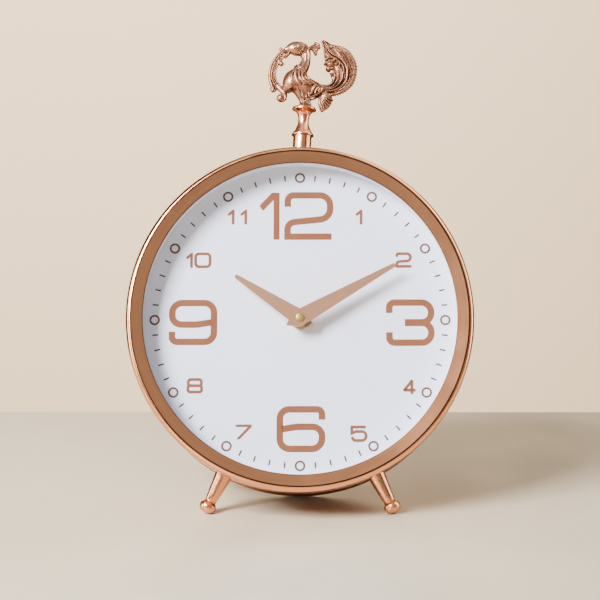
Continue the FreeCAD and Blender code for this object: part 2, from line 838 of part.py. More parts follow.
def minute_wheel():
    """Wheel and pinion between the centre arbor and the hour wheel."""
    pinion_low = minute_wheel_z + wheel_thick
    pinion_high = hour_wheel_z + wheel_thick
    facing = minute_wheel_bearing + 180 + 180.0 / minute_pinion_teeth
    wheel = gear(minute_teeth, centre_module, minute_wheel_z, wheel_thick, minute_spot, first_tooth())
    pinion = gear(minute_pinion_teeth, hour_module, pinion_low, pinion_high - pinion_low, minute_spot, facing)
    pivot = tube(pivot_r, 0, train_top_z - pivot_depth, plate_z - pivot_end_play, minute_spot)
    return wheel.fuse([pinion, pivot])


def knob_turn():
    """Angle of the knob's pinion at which a gap meets the minute wheel's nearest tooth."""
    pitch = 360.0 / minute_teeth
    ahead = (first_tooth() - knob_bearing + pitch / 2) % pitch - pitch / 2
    return knob_bearing + 180 + 180.0 / knob_teeth - ahead * minute_teeth / knob_teeth


def setting_knob():
    """Fluted knob behind the movement, with its stem and pinion."""
    top = movement_back_z - knob_gap
    knob = tube(knob_r, 0, top - knob_h, top, knob_spot)
    for k in range(knob_flutes):
        spot = polar(knob_r + knob_flute_r - knob_flute_depth, k * 360.0 / knob_flutes, knob_spot)
        knob = knob.cut(tube(knob_flute_r, 0, top - knob_h, top, spot))
    stem = tube(knob_stem_r, 0, top, minute_wheel_z, knob_spot)
    pinion = gear(knob_teeth, centre_module, minute_wheel_z, wheel_thick, knob_spot, knob_turn())
    pivot = tube(pivot_r, 0, minute_wheel_z + wheel_thick, plate_z - pivot_end_play, knob_spot)
    return knob.fuse([stem, pinion, pivot])


def hand(length, low, bore_r, hub_h, bearing):
    """Flat kite-shaped hand with a pointed tail, a round tip and a riveted hub behind it."""
    slope = math.asin((hand_half_width - hand_tip_r) / (length + hand_shoulder - hand_tip_r))
    side_x = hand_tip_r * math.cos(slope)
    side_y = length - hand_tip_r + hand_tip_r * math.sin(slope)
    blade = flat_plate((0, -hand_tail), [[(hand_half_width, -hand_shoulder)], [(side_x, side_y)],
                                         [(0, length), (-side_x, side_y)],
                                         [(-hand_half_width, -hand_shoulder)], [(0, -hand_tail)]],
                       hand_thick)
    blade.translate(Vector(0, 0, low + hand_thick / 2))
    blade = blade.fuse(tube(hub_r, 0, low - hub_h, low))
    blade = blade.cut(tube(bore_r + hand_fit, 0, low - hub_h, low + hand_thick))
    blade.rotate(Vector(0, 0, 0), Vector(0, 0, 1), -bearing)
    return blade


def hour_hand():
    """Hour hand pressed on the hour pipe."""
    return hand(hour_length, hour_hand_z, pipe_r, hour_hub_h, hour_rest_angle)


def minute_hand():
    """Minute hand pressed on the centre arbor."""
    return hand(minute_length, minute_hand_z, arbor_r, minute_hub_h, minute_rest_angle)


def minute_cap():
    """Small round brass cap nut on the arbor's end."""
    low = minute_hand_z + hand_thick
    cap = tube(cap_nut_r, 0, low, low + cap_nut_h)
    return cap.cut(tube(arbor_r + hand_fit, 0, low, arbor_rise + hand_fit))


# Stance: the lean at which the feet's flats and the rear bead are level

def foot_reach(lean):
    """Depth of a foot's flat below the dial centre."""
    axis_cos = math.cos(math.radians(foot_splay)) * math.cos(lean)
    spread = foot_ball_round + foot_ball_core * math.sqrt(1 - axis_cos ** 2) - foot_pad_depth
    ball_y = polar(drum_r + foot_ball_at, 180 - foot_splay)[1]
    return spread - foot_z * math.sin(lean) - ball_y * math.cos(lean)


def rim_reach(lean):
    """Depth of the rear bead's lowest corner below the dial centre."""
    return max(r * math.cos(lean) - z * math.sin(lean) for r, z in rim_bead())


def find_lean():
    """Halve the range until both depths agree."""
    low, high = 0.0, math.radians(45)
    while high - low > 1e-9:
        middle = (low + high) / 2
        if foot_reach(middle) > rim_reach(middle):
            low = middle
        else:
            high = middle
    return low


lean = find_lean()
dial_height = foot_reach(lean)
tip_back = Placement(Vector(0, 0, dial_height), Rotation(Vector(1, 0, 0), 90 - math.degrees(lean)))

nodes = {
    "case_drum": case_drum(),
    "bezel_ring": bezel_ring(),
    "glass_lens": glass_lens(),
    "dial_spacer": dial_spacer(),
    "dial_plate": dial_plate(),
    "back_cover": back_cover(),
    "cover_tabs": cover_tabs(),
    "cover_screws": cover_screws(),
    "right_foot": foot(foot_bearings()[0]),
    "left_foot": foot(foot_bearings()[1]),
    "foot_bolts": foot_bolts(),
    "finial_collar": finial_collar(),
    "finial_column": finial_column(),
    "finial_stud": finial_stud(),
    "finial_washer": finial_washer(),
    "finial_nut": finial_nut(),
    "peacock_finial": peacock_finial(),
    "movement_housing": movement_housing(),
    "movement_back": movement_back(),
    "threaded_bush": threaded_bush(),
    "rubber_washer": rubber_washer(),
    "movement_nut": movement_nut(),
    "train_box": train_box(),
    "circuit_board": circuit_board(),
    "quartz_crystal": quartz_crystal(),
    "stator_core": stator_core(),
    "drive_coil": drive_coil(),
    "contact_plus": contact_plate(1),
    "contact_minus": contact_plate(-1),
    "battery_cell": battery_cell(),
    "minute_arbor": minute_arbor(),
    "minute_wheel": minute_wheel(),
    "hour_wheel": hour_wheel(),
    "setting_knob": setting_knob(),
    "hour_hand": hour_hand(),
    "minute_hand": minute_hand(),
    "minute_cap": minute_cap(),
}

floor = slab(-2 * drum_r, 2 * drum_r, -2 * drum_r, 2 * drum_r, -drum_r, 0)
stood = {}
for name, shape in nodes.items():
    placed = shape.copy()
    placed.Placement = tip_back.multiply(placed.Placement)
    if name in ("left_foot", "right_foot"):
        placed = placed.cut(floor)
    stood[name] = placed

box = Part.makeCompound([stood["bezel_ring"], stood["case_drum"]]).optimalBoundingBox(False)
centre_shift = Vector(0, -(box.YMin + box.YMax) / 2, 0)
os.makedirs("parts", exist_ok=True)
for name, shape in stood.items():
    shape.translate(centre_shift)
    shape.exportStep("parts/" + name + ".step")
    sound = "sound" if shape.isValid() else "NOT VALID"
    print(name, len(shape.Solids), sound, round(shape.Volume, 1))

print("lean", round(math.degrees(lean), 4), "dial centre", round(centre_shift.y, 4),
      round(dial_height, 4))
for label, spot in (("minute wheel", minute_spot), ("knob", knob_spot)):
    point = tip_back.multVec(Vector(spot[0], spot[1], 0)) + centre_shift
    print(label, [round(v, 4) for v in point])
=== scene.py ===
# %% [markdown]
# # A rose-copper table clock with a peacock finial
# The clock leans back on two turned feet. Its working parts come ready placed from the
# engineering model, and this lesson dresses them: smooth spun metal, printed dial, pressed
# hands and a cast bird. The first step loads that model and keeps its outer box, which the
# dressed rims and feet are kept inside.

# %% Load the fixed model
import bmesh
import bpy
import json
import math
import numpy as np
from mathutils import Matrix, Vector


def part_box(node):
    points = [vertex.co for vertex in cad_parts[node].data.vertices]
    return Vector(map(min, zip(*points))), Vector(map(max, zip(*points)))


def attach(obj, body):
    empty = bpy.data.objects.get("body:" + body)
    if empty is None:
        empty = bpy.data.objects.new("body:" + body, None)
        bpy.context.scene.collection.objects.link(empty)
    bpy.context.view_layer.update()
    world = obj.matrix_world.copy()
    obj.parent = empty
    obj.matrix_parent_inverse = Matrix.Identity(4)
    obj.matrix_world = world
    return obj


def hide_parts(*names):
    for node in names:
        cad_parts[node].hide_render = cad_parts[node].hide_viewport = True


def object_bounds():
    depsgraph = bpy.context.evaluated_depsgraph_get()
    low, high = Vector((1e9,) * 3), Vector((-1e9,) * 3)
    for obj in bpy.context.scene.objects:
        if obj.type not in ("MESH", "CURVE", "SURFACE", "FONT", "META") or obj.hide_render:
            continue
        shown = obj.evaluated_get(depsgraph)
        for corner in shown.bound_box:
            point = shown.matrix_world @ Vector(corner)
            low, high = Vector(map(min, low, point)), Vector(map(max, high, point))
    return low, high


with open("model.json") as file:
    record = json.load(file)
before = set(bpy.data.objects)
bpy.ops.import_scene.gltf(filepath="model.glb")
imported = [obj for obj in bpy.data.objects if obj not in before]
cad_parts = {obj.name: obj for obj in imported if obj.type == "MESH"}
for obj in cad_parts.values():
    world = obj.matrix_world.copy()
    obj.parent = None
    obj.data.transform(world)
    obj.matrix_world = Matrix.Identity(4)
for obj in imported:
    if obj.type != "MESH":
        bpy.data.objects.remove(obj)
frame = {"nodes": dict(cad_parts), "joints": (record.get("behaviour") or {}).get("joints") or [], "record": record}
cad_low, cad_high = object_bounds()
print("nodes", len(frame["nodes"]), "box", [round(v, 4) for v in (*cad_low, *cad_high)])

# %% [markdown]
# ## The clock's own axes
# A leaning clock is easier to draw as if it stood upright. Its axes start at the centre of
# the dial's face: X to the viewer's right, Y up the dial, Z out of it. The minute hand's
# joint already holds the centre and the axis, so the axes are taken from there.

# %% Find the clock's axes
MM = 0.001
turn = next(j for j in frame["joints"] if j["name"] == "minute_turn")
dial_out = -Vector(turn["axis"]).normalized()
dial_right = Vector((1, 0, 0))
dial_up = dial_out.cross(dial_right)
clock_axes = Matrix((dial_right, dial_up, dial_out)).transposed().to_4x4()
clock_axes.translation = Vector(turn["pos_m"])
lean = math.asin(dial_out.z)
print("lean", round(math.degrees(lean), 3), "dial centre", [round(v, 5) for v in turn["pos_m"]])


def spot(x, y, z=0):
    """Shift in millimetres, as a matrix."""
    return Matrix.Translation((x * MM, y * MM, z * MM))


def turned_about(axis, degrees):
    """Turn about one axis, as a matrix."""
    return Matrix.Rotation(math.radians(degrees), 4, axis)


def polar(radius, bearing):
    """Point at a clockwise bearing from twelve o'clock."""
    return (radius * math.sin(math.radians(bearing)), radius * math.cos(math.radians(bearing)))


# %% [markdown]
# ## The camera
# The photograph was taken from a little below the dial's own axis with a long lens. The
# distance and the lens were fitted to the rim, the feet and the far edge of the table.

# %% Set the camera
camera_below, camera_pitch = math.radians(8.0), math.radians(0.718)
camera_distance = 0.8
camera_data = bpy.data.cameras.new("camera")
camera_data.lens = 96.8
camera_data.sensor_width = 36.0
camera_data.clip_start = 0.01
camera = bpy.data.objects.new("camera", camera_data)
bpy.context.collection.objects.link(camera)
camera_place = Vector((0, -math.sin(camera_below), math.cos(camera_below))) * camera_distance
camera_turn = Matrix.Rotation(camera_below + camera_pitch, 4, "X")
camera.matrix_world = clock_axes @ Matrix.Translation(camera_place) @ camera_turn
bpy.context.scene.camera = camera
print("camera", [round(v, 4) for v in camera.matrix_world.translation])

# %% [markdown]
# ## Helpers for meshes
# Spun and turned parts share one maker: an outline swept round an axis. Flat parts share
# another: an outline filled and given a thickness. A piece is drawn upright, in its own
# axes, and its points are then moved to where they belong in the world, so that every
# object keeps a plain matrix and a tight box.

# %% Make a mesh piece
ROUND, CRISP = math.radians(38), math.radians(12)


def soften(mesh, angle=ROUND):
    """Shade round forms smoothly and keep real edges crisp."""
    mesh.shade_smooth()
    mesh.set_sharp_from_angle(angle=angle)


def add_object(name, data, place=None):
    """Put a mesh or a lamp in the scene; a mesh's points can be moved by a rigid matrix."""
    if place is not None:
        data.transform(place)
    piece = bpy.data.objects.new(name, data)
    bpy.context.collection.objects.link(piece)
    return piece


def make_piece(name, points, faces, place):
    """New object from points in millimetres, set in the clock by a rigid matrix."""
    mesh = bpy.data.meshes.new(name)
    mesh.from_pydata((np.asarray(points, float) * MM).tolist(), [], faces)
    soften(mesh)
    return add_object(name, mesh, place)


# %% Ease the corners of an outline
def eased(points, radius, closed=True, steps=4, hold=0.03):
    """Round each corner of an outline; a third number in a point is its own radius.

    The hold is a short straight step before and after a corner, which keeps the shading of
    the flat beside it flat.
    """
    count = len(points)
    result = []
    for k, point in enumerate(points):
        here = np.array(point[:2], float)
        size = point[2] if len(point) > 2 else radius
        if size <= 0 or (not closed and k in (0, count - 1)):
            result.append(tuple(here))
            continue
        back = np.array(points[k - 1][:2], float) - here
        ahead = np.array(points[(k + 1) % count][:2], float) - here
        long_back, long_ahead = np.linalg.norm(back), np.linalg.norm(ahead)
        back, ahead = back / long_back, ahead / long_ahead
        half = math.acos(max(-1, min(1, float(back @ ahead)))) / 2
        if half > math.radians(88):
            result.append(tuple(here))
            continue
        reach = min(size / math.tan(half), 0.49 * long_back, 0.49 * long_ahead)
        size = reach * math.tan(half)
        middle = here + (back + ahead) / np.linalg.norm(back + ahead) * size / math.sin(half)
        start, end = here + back * reach, here + ahead * reach
        if hold and reach + hold < 0.49 * long_back:
            result.append(tuple(start + back * hold))
        first = math.atan2(*(start - middle)[::-1])
        sweep = math.atan2(*(end - middle)[::-1]) - first
        sweep = (sweep + math.pi) % (2 * math.pi) - math.pi
        for i in range(steps + 1):
            angle = first + sweep * i / steps
            result.append((middle[0] + size * math.cos(angle), middle[1] + size * math.sin(angle)))
        if hold and reach + hold < 0.49 * long_ahead:
            result.append(tuple(end + ahead * hold))
    return result


def arc(centre, radii, first, last, count):
    """Points along a round or oval arc, by angles in degrees."""
    angles = np.radians(np.linspace(first, last, count + 1))
    return [(centre[0] + radii[0] * math.cos(a), centre[1] + radii[1] * math.sin(a)) for a in angles]


def circle(radius, count=24):
    """Points all round a circle."""
    return arc((0, 0), (radius, radius), 0, 360 - 360 / count, count - 1)


# %% Draw a smooth line
def flow(rows, steps=8):
    """Smooth curve through rows of numbers."""
    rows = np.array(rows, float)
    ends = np.vstack([2 * rows[0] - rows[1], rows, 2 * rows[-1] - rows[-2]])
    line = []
    for a, b, c, d in zip(ends, ends[1:], ends[2:], ends[3:]):
        for t in np.arange(steps) / steps:
            line.append(0.5 * (2 * b + (c - a) * t + (2 * a - 5 * b + 4 * c - d) * t ** 2
                               + (3 * b - a - 3 * c + d) * t ** 3))
    return np.array(line + [rows[-1]])


# %% Turn an outline about an axis
UNROLL = 0.01


def lathe(name, outline, place, steps=192):
    """Sweep a closed (radius, height) outline about local Z, and unroll it for turning marks.

    The turn runs along U, and the millimetres along the outline, times UNROLL, along V.
    """
    points, rings = [], []
    angles = np.linspace(0, 2 * math.pi, steps, endpoint=False)
    for radius, height in outline:
        if radius < 1e-6:
            rings.append([len(points)] * steps)
            points.append((0, 0, height))
        else:
            rings.append(list(range(len(points), len(points) + steps)))
            points += [(radius * math.cos(a), radius * math.sin(a), height) for a in angles]
    faces, unrolled, along = [], [], 0.0
    for row, (low, high) in enumerate(zip(rings, rings[1:] + rings[:1])):
        onward = along + math.dist(outline[row], outline[(row + 1) % len(outline)]) * UNROLL
        for k in range(steps):
            j = (k + 1) % steps
            corners = {}
            for vertex, turns, length in ((low[k], k, along), (low[j], k + 1, along),
                                          (high[j], k + 1, onward), (high[k], k, onward)):
                corners.setdefault(vertex, (turns / steps, length))
            if len(corners) > 2:
                faces.append(list(corners))
                unrolled += corners.values()
        along = onward
    piece = make_piece(name, points, faces, place)
    layer = piece.data.uv_layers.new(name="unrolled")
    layer.data.foreach_set("uv", np.array(unrolled, "f").ravel())
    return piece


# %% Keep a piece in the model's box
def kept_inside(piece):
    """Flatten what stands out of the model's box; it is under 0.1 mm, where a rim or a foot rests."""
    for vertex in piece.data.vertices:
        vertex.co = [min(max(c, low), high) for c, low, high in zip(vertex.co, cad_low, cad_high)]


# %% Give a flat outline a thickness
def plate(name, outlines, low, high, edge, place):
    """Plate between two heights from an outer loop and a hole, its top rim eased."""
    form = bmesh.new()
    loops = []
    for outline in outlines:
        ring = [form.verts.new((x * MM, y * MM, low * MM)) for x, y in outline]
        loops += [form.edges.new((a, b)) for a, b in zip(ring, ring[1:] + ring[:1])]
    filled_in = bmesh.ops.triangle_fill(form, use_beauty=True, use_dissolve=False, edges=loops)
    flat = [g for g in filled_in["geom"] if isinstance(g, bmesh.types.BMFace)]
    lifted = bmesh.ops.extrude_face_region(form, geom=flat)
    tops = [g for g in lifted["geom"] if isinstance(g, bmesh.types.BMVert)]
    bmesh.ops.translate(form, verts=tops, vec=(0, 0, (high - low) * MM))
    bmesh.ops.recalc_face_normals(form, faces=form.faces)
    lid = set(tops)
    rim = [e for e in form.edges if set(e.verts) <= lid
           and any(abs(f.normal.z) < 0.5 for f in e.link_faces)]
    bmesh.ops.bevel(form, geom=rim, offset=edge * MM, segments=2, profile=0.6, affect="EDGES")
    mesh = bpy.data.meshes.new(name)
    form.to_mesh(mesh)
    form.free()
    soften(mesh, CRISP)
    return add_object(name, mesh, place)


# %% [markdown]
# ## Helpers for finishes
# A finish is a small network of shader nodes. One helper adds a node and wires it in a
# single line. A second starts a node group, which is an effect, such as turning marks, that
# is built once and then used in many materials with other values.

# %% Wire shader nodes
def node(tree, kind, inputs=None, **settings):
    """Add a shader node; inputs are plain values or sockets to link."""
    made = tree.nodes.new("ShaderNode" + kind)
    for name, value in settings.items():
        setattr(made, name, value)
    for name, value in (inputs or {}).items():
        if isinstance(value, bpy.types.NodeSocket):
            tree.links.new(value, made.inputs[name])
        else:
            made.inputs[name].default_value = value
    return made


def reckon(tree, operation, first, second=0.0):
    """One step of arithmetic on values or sockets."""
    return node(tree, "Math", {0: first, 1: second}, operation=operation).outputs[0]


def times(tree, first, second):
    """Product of two values or sockets."""
    return reckon(tree, "MULTIPLY", first, second)


def plus(tree, first, second):
    """Sum of two values or sockets."""
    return reckon(tree, "ADD", first, second)


def minus(tree, first, second):
    """Difference of two values or sockets."""
    return reckon(tree, "SUBTRACT", first, second)


def spread(tree, value, low, high, new_low=0.0, new_high=1.0):
    """Stretch a range of values to another one, smoothly and clamped."""
    return node(tree, "MapRange", {0: value, 1: low, 2: high, 3: new_low, 4: new_high},
                interpolation_type="SMOOTHSTEP").outputs[0]


def blend(tree, share, first, second):
    """Mix two colours or colour sockets by a share."""
    return node(tree, "Mix", {0: share, 6: first, 7: second}, data_type="RGBA").outputs[2]


def noise(tree, point, scale, detail, **values):
    """Cloudy noise at a point of the surface."""
    return node(tree, "TexNoise", {"Vector": point, "Scale": scale, "Detail": detail, **values}).outputs[0]


# %% Open and place a node group
def start_group(name, inputs, outputs):
    """Open a node group with named number inputs and named outputs."""
    tree = bpy.data.node_groups.new(name, "ShaderNodeTree")
    for label, value in inputs:
        made = tree.interface.new_socket(label, in_out="INPUT", socket_type="NodeSocketFloat")
        made.default_value = value
    for label in outputs:
        tree.interface.new_socket(label, in_out="OUTPUT", socket_type="NodeSocketFloat")
    return tree, tree.nodes.new("NodeGroupInput").outputs, tree.nodes.new("NodeGroupOutput").inputs


def use(tree, group, **values):
    """Place a node group in a material; underscores in a value's name stand for spaces."""
    made = tree.nodes.new("ShaderNodeGroup")
    made.node_tree = group
    for label, value in values.items():
        made.inputs[label.replace("_", " ")].default_value = value
    return made.outputs


# %% [markdown]
# ## Effects that the finishes share
# - Turning marks: fine rings round a spun or turned piece, where the tool or the abrasive
#   pad went round. They follow the unrolled surface that the lathe helper laid out.
# - Grain: the tiny roughness of plated, moulded or painted surfaces.
# - Smudges: broad soft patches that are a little duller, as handling leaves them.
# - Wear: raised edges rub bright and hollows stay dark.
# - Dust: a faint film on what faces up.

# %% Build the turning marks
marks, enter, leave = start_group("turning_marks", [("Rings per mm", 6.0), ("Waver", 1.0)],
                                  ["Rings", "Streaks"])
unrolled_at = node(marks, "SeparateXYZ", {0: node(marks, "TexCoord").outputs["UV"]}).outputs
turn_angle = times(marks, unrolled_at[0], 2 * math.pi)
ways_round = [times(marks, reckon(marks, operation, turn_angle), enter["Waver"])
              for operation in ("COSINE", "SINE")]
travel = times(marks, reckon(marks, "DIVIDE", unrolled_at[1], UNROLL), enter["Rings per mm"])
ring_point = node(marks, "CombineXYZ", {0: travel, 1: ways_round[0], 2: ways_round[1]}).outputs[0]
marks.links.new(noise(marks, ring_point, 1.0, 3.0, Roughness=0.65), leave["Rings"])
broad = node(marks, "VectorMath", {0: ring_point, 1: (0.08, 1.6, 1.6)}, operation="MULTIPLY").outputs[0]
marks.links.new(noise(marks, broad, 1.0, 2.0), leave["Streaks"])
print("turning_marks", len(marks.nodes), "nodes")

# %% Build the grain and the smudges
grain, enter, leave = start_group("surface_grain", [("Grains per mm", 5.0)], ["Height"])
here = node(grain, "TexCoord").outputs["Object"]
fine = times(grain, enter["Grains per mm"], 1000.0)
grain.links.new(noise(grain, here, fine, 2.0, Roughness=0.6), leave["Height"])

smudges, enter, leave = start_group("smudges", [("Patches per cm", 0.6), ("Contrast", 0.5)], ["Mask"])
here = node(smudges, "TexCoord").outputs["Object"]
cloud = noise(smudges, here, times(smudges, enter["Patches per cm"], 100.0), 3.0, Distortion=0.4)
edge = times(smudges, minus(smudges, 1.0, enter["Contrast"]), 0.3)
low_edge, high_edge = minus(smudges, 0.5, edge), plus(smudges, 0.56, edge)
smudges.links.new(spread(smudges, cloud, low_edge, high_edge), leave["Mask"])
print("surface_grain", len(grain.nodes), "nodes, smudges", len(smudges.nodes), "nodes")

# %% Build the wear and the dust
wear, enter, leave = start_group("edge_wear", [("Reach", 0.06)], ["Edges", "Hollows"])
pointed = node(wear, "NewGeometry").outputs["Pointiness"]
for effect, beyond in (("Edges", plus), ("Hollows", minus)):
    wear.links.new(spread(wear, pointed, 0.5, beyond(wear, 0.5, enter["Reach"])), leave[effect])

dust, enter, leave = start_group("dust_film", [("Amount", 0.1)], ["Mask"])
facing = node(dust, "SeparateXYZ", {0: node(dust, "NewGeometry").outputs["Normal"]}).outputs[2]
upward = spread(dust, facing, 0.35, 1.0)
patchy = noise(dust, node(dust, "TexCoord").outputs["Object"], 700.0, 4.0, Roughness=0.7)
film = times(dust, upward, spread(dust, patchy, 0.35, 0.75))
dust.links.new(times(dust, film, enter["Amount"]), leave["Mask"])
print("edge_wear", len(wear.nodes), "nodes, dust_film", len(dust.nodes), "nodes")

# %% [markdown]
# ## Metal finishes
# The case is steel with a rose-copper plate. Satin areas were brushed in rings, rims were
# polished, and the bird was cast, darkened and then rubbed back. These finishes are one
# network with other values: a plate colour that drifts a little, marks or grain for the
# bump, duller smudges, dark hollows that are partly patina and partly painted shade, and
# brighter edges.

# %% Start a finish
finishes = {}


def finish(name):
    """Empty material with a Principled shader wired to the output, kept under its name."""
    material = bpy.data.materials.new(name)
    material.use_nodes = True
    tree = material.node_tree
    tree.nodes.clear()
    shader = node(tree, "BsdfPrincipled")
    node(tree, "OutputMaterial", {"Surface": shader.outputs[0]})
    finishes[name] = material
    return tree, shader


def feed(tree, shader, **sockets):
    """Link or set the shader's inputs; underscores stand for spaces."""
    for label, value in sockets.items():
        target = shader.inputs[label.replace("_", " ")]
        if isinstance(value, bpy.types.NodeSocket):
            tree.links.new(value, target)
        else:
            target.default_value = value


def bumped(tree, height, depth, normal=None):
    """Normal that carries a height map; the depth is in millimetres."""
    inputs = {"Height": height, "Distance": depth * MM, "Strength": 1.0}
    if normal:
        inputs["Normal"] = normal
    return node(tree, "Bump", inputs).outputs[0]


# %% Mix a metal
METAL_DUST = (0.62, 0.58, 0.54, 1)


def metal(name, tone, deep_tone, rough, rings=0.0, ring_depth=0.0, grain_size=5.0, grain_depth=0.0,
          patina=0.3, bright=0.2, dusty=0.05, smudge=0.08, patina_and_painted_shade_reach=0.0):
    """Plated or bare metal with turning marks, grain, patina in hollows, painted shade where sheltered, and rubbed
    edges.
    """
    tree, shader = finish(name)
    marked = use(tree, marks, Rings_per_mm=rings or 1.0)
    worn = use(tree, wear)
    lighter = tuple(min(1.0, c * 1.08) for c in tone) + (1,)
    colour = blend(tree, spread(tree, marked["Streaks"], 0.3, 0.7), (*tone, 1), lighter)
    colour = blend(tree, times(tree, worn["Hollows"], patina), colour, (*deep_tone, 1))
    # Where ambient occlusion finds the surface sheltered, the colour goes to the deep tone: patina in the hollows,
    # and painted shade as well.
    if patina_and_painted_shade_reach:
        open_air = node(tree, "AmbientOcclusion", {"Distance": patina_and_painted_shade_reach * MM}, samples=6).outputs["AO"]
        colour = blend(tree, spread(tree, open_air, 0.88, 0.3, 0.0, 0.9), colour, (*deep_tone, 1))
    if bright:
        rubbed = tuple(min(1.0, c * 1.25 + 0.03) for c in tone) + (1,)
        colour = blend(tree, times(tree, worn["Edges"], bright), colour, rubbed)
    metallic = 1.0
    if dusty:
        film = use(tree, dust, Amount=dusty)["Mask"]
        colour = blend(tree, film, colour, METAL_DUST)
        metallic = minus(tree, 1.0, times(tree, film, 0.8))
    roughness = plus(tree, times(tree, use(tree, smudges)["Mask"], smudge), rough)
    roughness = plus(tree, roughness, times(tree, worn["Hollows"], patina * 0.35))
    normal = None
    if rings:
        roughness = plus(tree, roughness, times(tree, minus(tree, marked["Rings"], 0.5), 0.08))
        normal = bumped(tree, marked["Rings"], ring_depth)
    if grain_depth:
        grained = use(tree, grain, Grains_per_mm=grain_size)["Height"]
        normal = bumped(tree, grained, grain_depth, normal)
    feed(tree, shader, Base_Color=colour, Roughness=roughness, Metallic=metallic, Normal=normal)


COPPER, COPPER_DARK = (0.81, 0.35, 0.165), (0.16, 0.045, 0.018)
metal("copper_satin", COPPER, COPPER_DARK, 0.16, 7.0, 0.0006, grain_depth=0.0003, patina=0.25, smudge=0.03)
metal("copper_polished", COPPER, COPPER_DARK, 0.15, 4.0, 0.0004, patina=0.5)
# A near-black copper for the bezel's groove and lip edge: painted shade for the dark lines there.
metal("copper_painted_shade", (0.09, 0.033, 0.017), (0.03, 0.01, 0.005), 0.45, 4.0, 0.0004, bright=0.0, dusty=0.0)
# The drum's copper is a darker copy of the plate colour: painted shade for its underside below the rim.
metal("copper_drum_painted_shade", (0.38, 0.155, 0.07), COPPER_DARK, 0.3, 5.0, 0.0006, grain_depth=0.0003, bright=0.1)
metal("copper_turned", (0.71, 0.305, 0.148), COPPER_DARK, 0.22, 3.0, 0.0004, patina=0.8, bright=0.15,
      patina_and_painted_shade_reach=1.2)
metal("copper_cast", (0.325, 0.154, 0.088), (0.11, 0.043, 0.021), 0.34, grain_size=3.0, grain_depth=0.006,
      patina=1.0, bright=0.3, smudge=0.10, patina_and_painted_shade_reach=1.5)
metal("brass", (0.43, 0.30, 0.06), (0.2, 0.12, 0.03), 0.28, 5.0, 0.0005, dusty=0.0)
metal("zinc_steel", (0.62, 0.62, 0.60), (0.2, 0.2, 0.19), 0.32, 4.0, 0.001, grain_depth=0.001)
metal("stator_iron", (0.36, 0.36, 0.37), (0.1, 0.1, 0.1), 0.45, grain_depth=0.003)
metal("crystal_can", (0.70, 0.70, 0.69), (0.2, 0.2, 0.2), 0.22, grain_depth=0.0006)
metal("coil_copper", (0.55, 0.22, 0.10), (0.15, 0.05, 0.02), 0.35, 8.0, 0.02)
print("metals", list(finishes))

# %% [markdown]
# ## Paints, plastics and rubber
# A painted or moulded surface isn't a mirror, so its colour carries the look. The grain is
# the mould's texture or the spray's orange peel, and dust shows on what faces up.

# %% Mix a coat or a plastic
COAT_DUST = (0.6, 0.58, 0.55, 1)


def coat(name, tone, rough, grain_size=4.0, grain_depth=0.004, drift=0.05, metallic=0.0, dusty=0.06,
         patina=0.25, shine=0.5):
    """Paint, plastic or rubber with a fine grain and slight drift of tone."""
    tree, shader = finish(name)
    patches = use(tree, smudges, Patches_per_cm=0.9)["Mask"]
    darker = tuple(c * (1 - drift) for c in tone) + (1,)
    colour = blend(tree, patches, (*tone, 1), darker)
    if patina:
        shade = tuple(c * 0.45 for c in tone) + (1,)
        colour = blend(tree, times(tree, use(tree, wear)["Hollows"], patina), colour, shade)
    if dusty:
        colour = blend(tree, use(tree, dust, Amount=dusty)["Mask"], colour, COAT_DUST)
    grained = use(tree, grain, Grains_per_mm=grain_size)["Height"]
    feed(tree, shader, Base_Color=colour, Roughness=plus(tree, times(tree, patches, 0.07), rough),
         Metallic=metallic, Specular_IOR_Level=shine, Normal=bumped(tree, grained, grain_depth))


coat("dial_white", (0.77, 0.78, 0.88), 0.55, 6.0, 0.0012, 0.012, patina=0.0, dusty=0.0, shine=0.2)
coat("white_plastic", (0.74, 0.76, 0.84), 0.42, 4.0, 0.002, 0.02, patina=0.1, dusty=0.0)
for name, tone, grain_depth in (("numeral_print", (0.195, 0.066, 0.028), 0.0015),
                                ("tick_print", (0.035, 0.022, 0.022), 0.001),
                                ("ring_print", (0.115, 0.055, 0.043), 0.001)):
    coat(name, tone, 0.7, 8.0, grain_depth, 0.06, patina=0.0, dusty=0.0, shine=0.05)
coat("hand_lacquer", (0.24, 0.115, 0.055), 0.5, 9.0, 0.0016, 0.05, patina=0.0, dusty=0.0, shine=0.15)
coat("black_plastic", (0.028, 0.028, 0.03), 0.5, 5.0, 0.012, 0.2, patina=0.3)
coat("black_rubber", (0.02, 0.02, 0.02), 0.75, 3.0, 0.01, 0.2)
coat("board_green", (0.03, 0.14, 0.07), 0.32, 2.0, 0.004, 0.2)
coat("wheel_plastic", (0.72, 0.70, 0.64), 0.3, 3.0, 0.002, 0.05)
coat("back_paint", (0.42, 0.21, 0.14), 0.5, 4.0, 0.008, 0.08, metallic=0.5)
coat("battery_skin", (0.36, 0.38, 0.40), 0.3, 3.0, 0.001, 0.1)
coat("battery_band", (0.05, 0.10, 0.17), 0.3, 3.0, 0.001, 0.1)
print("finishes", len(finishes))

# %% [markdown]
# ## Glass
# The front pane is plain float glass. Light that only passes through, on its way to the
# dial, needn't be bent by so thin a pane, so shadow and diffuse rays go straight through.
# The camera still sees the pane's own soft reflection.

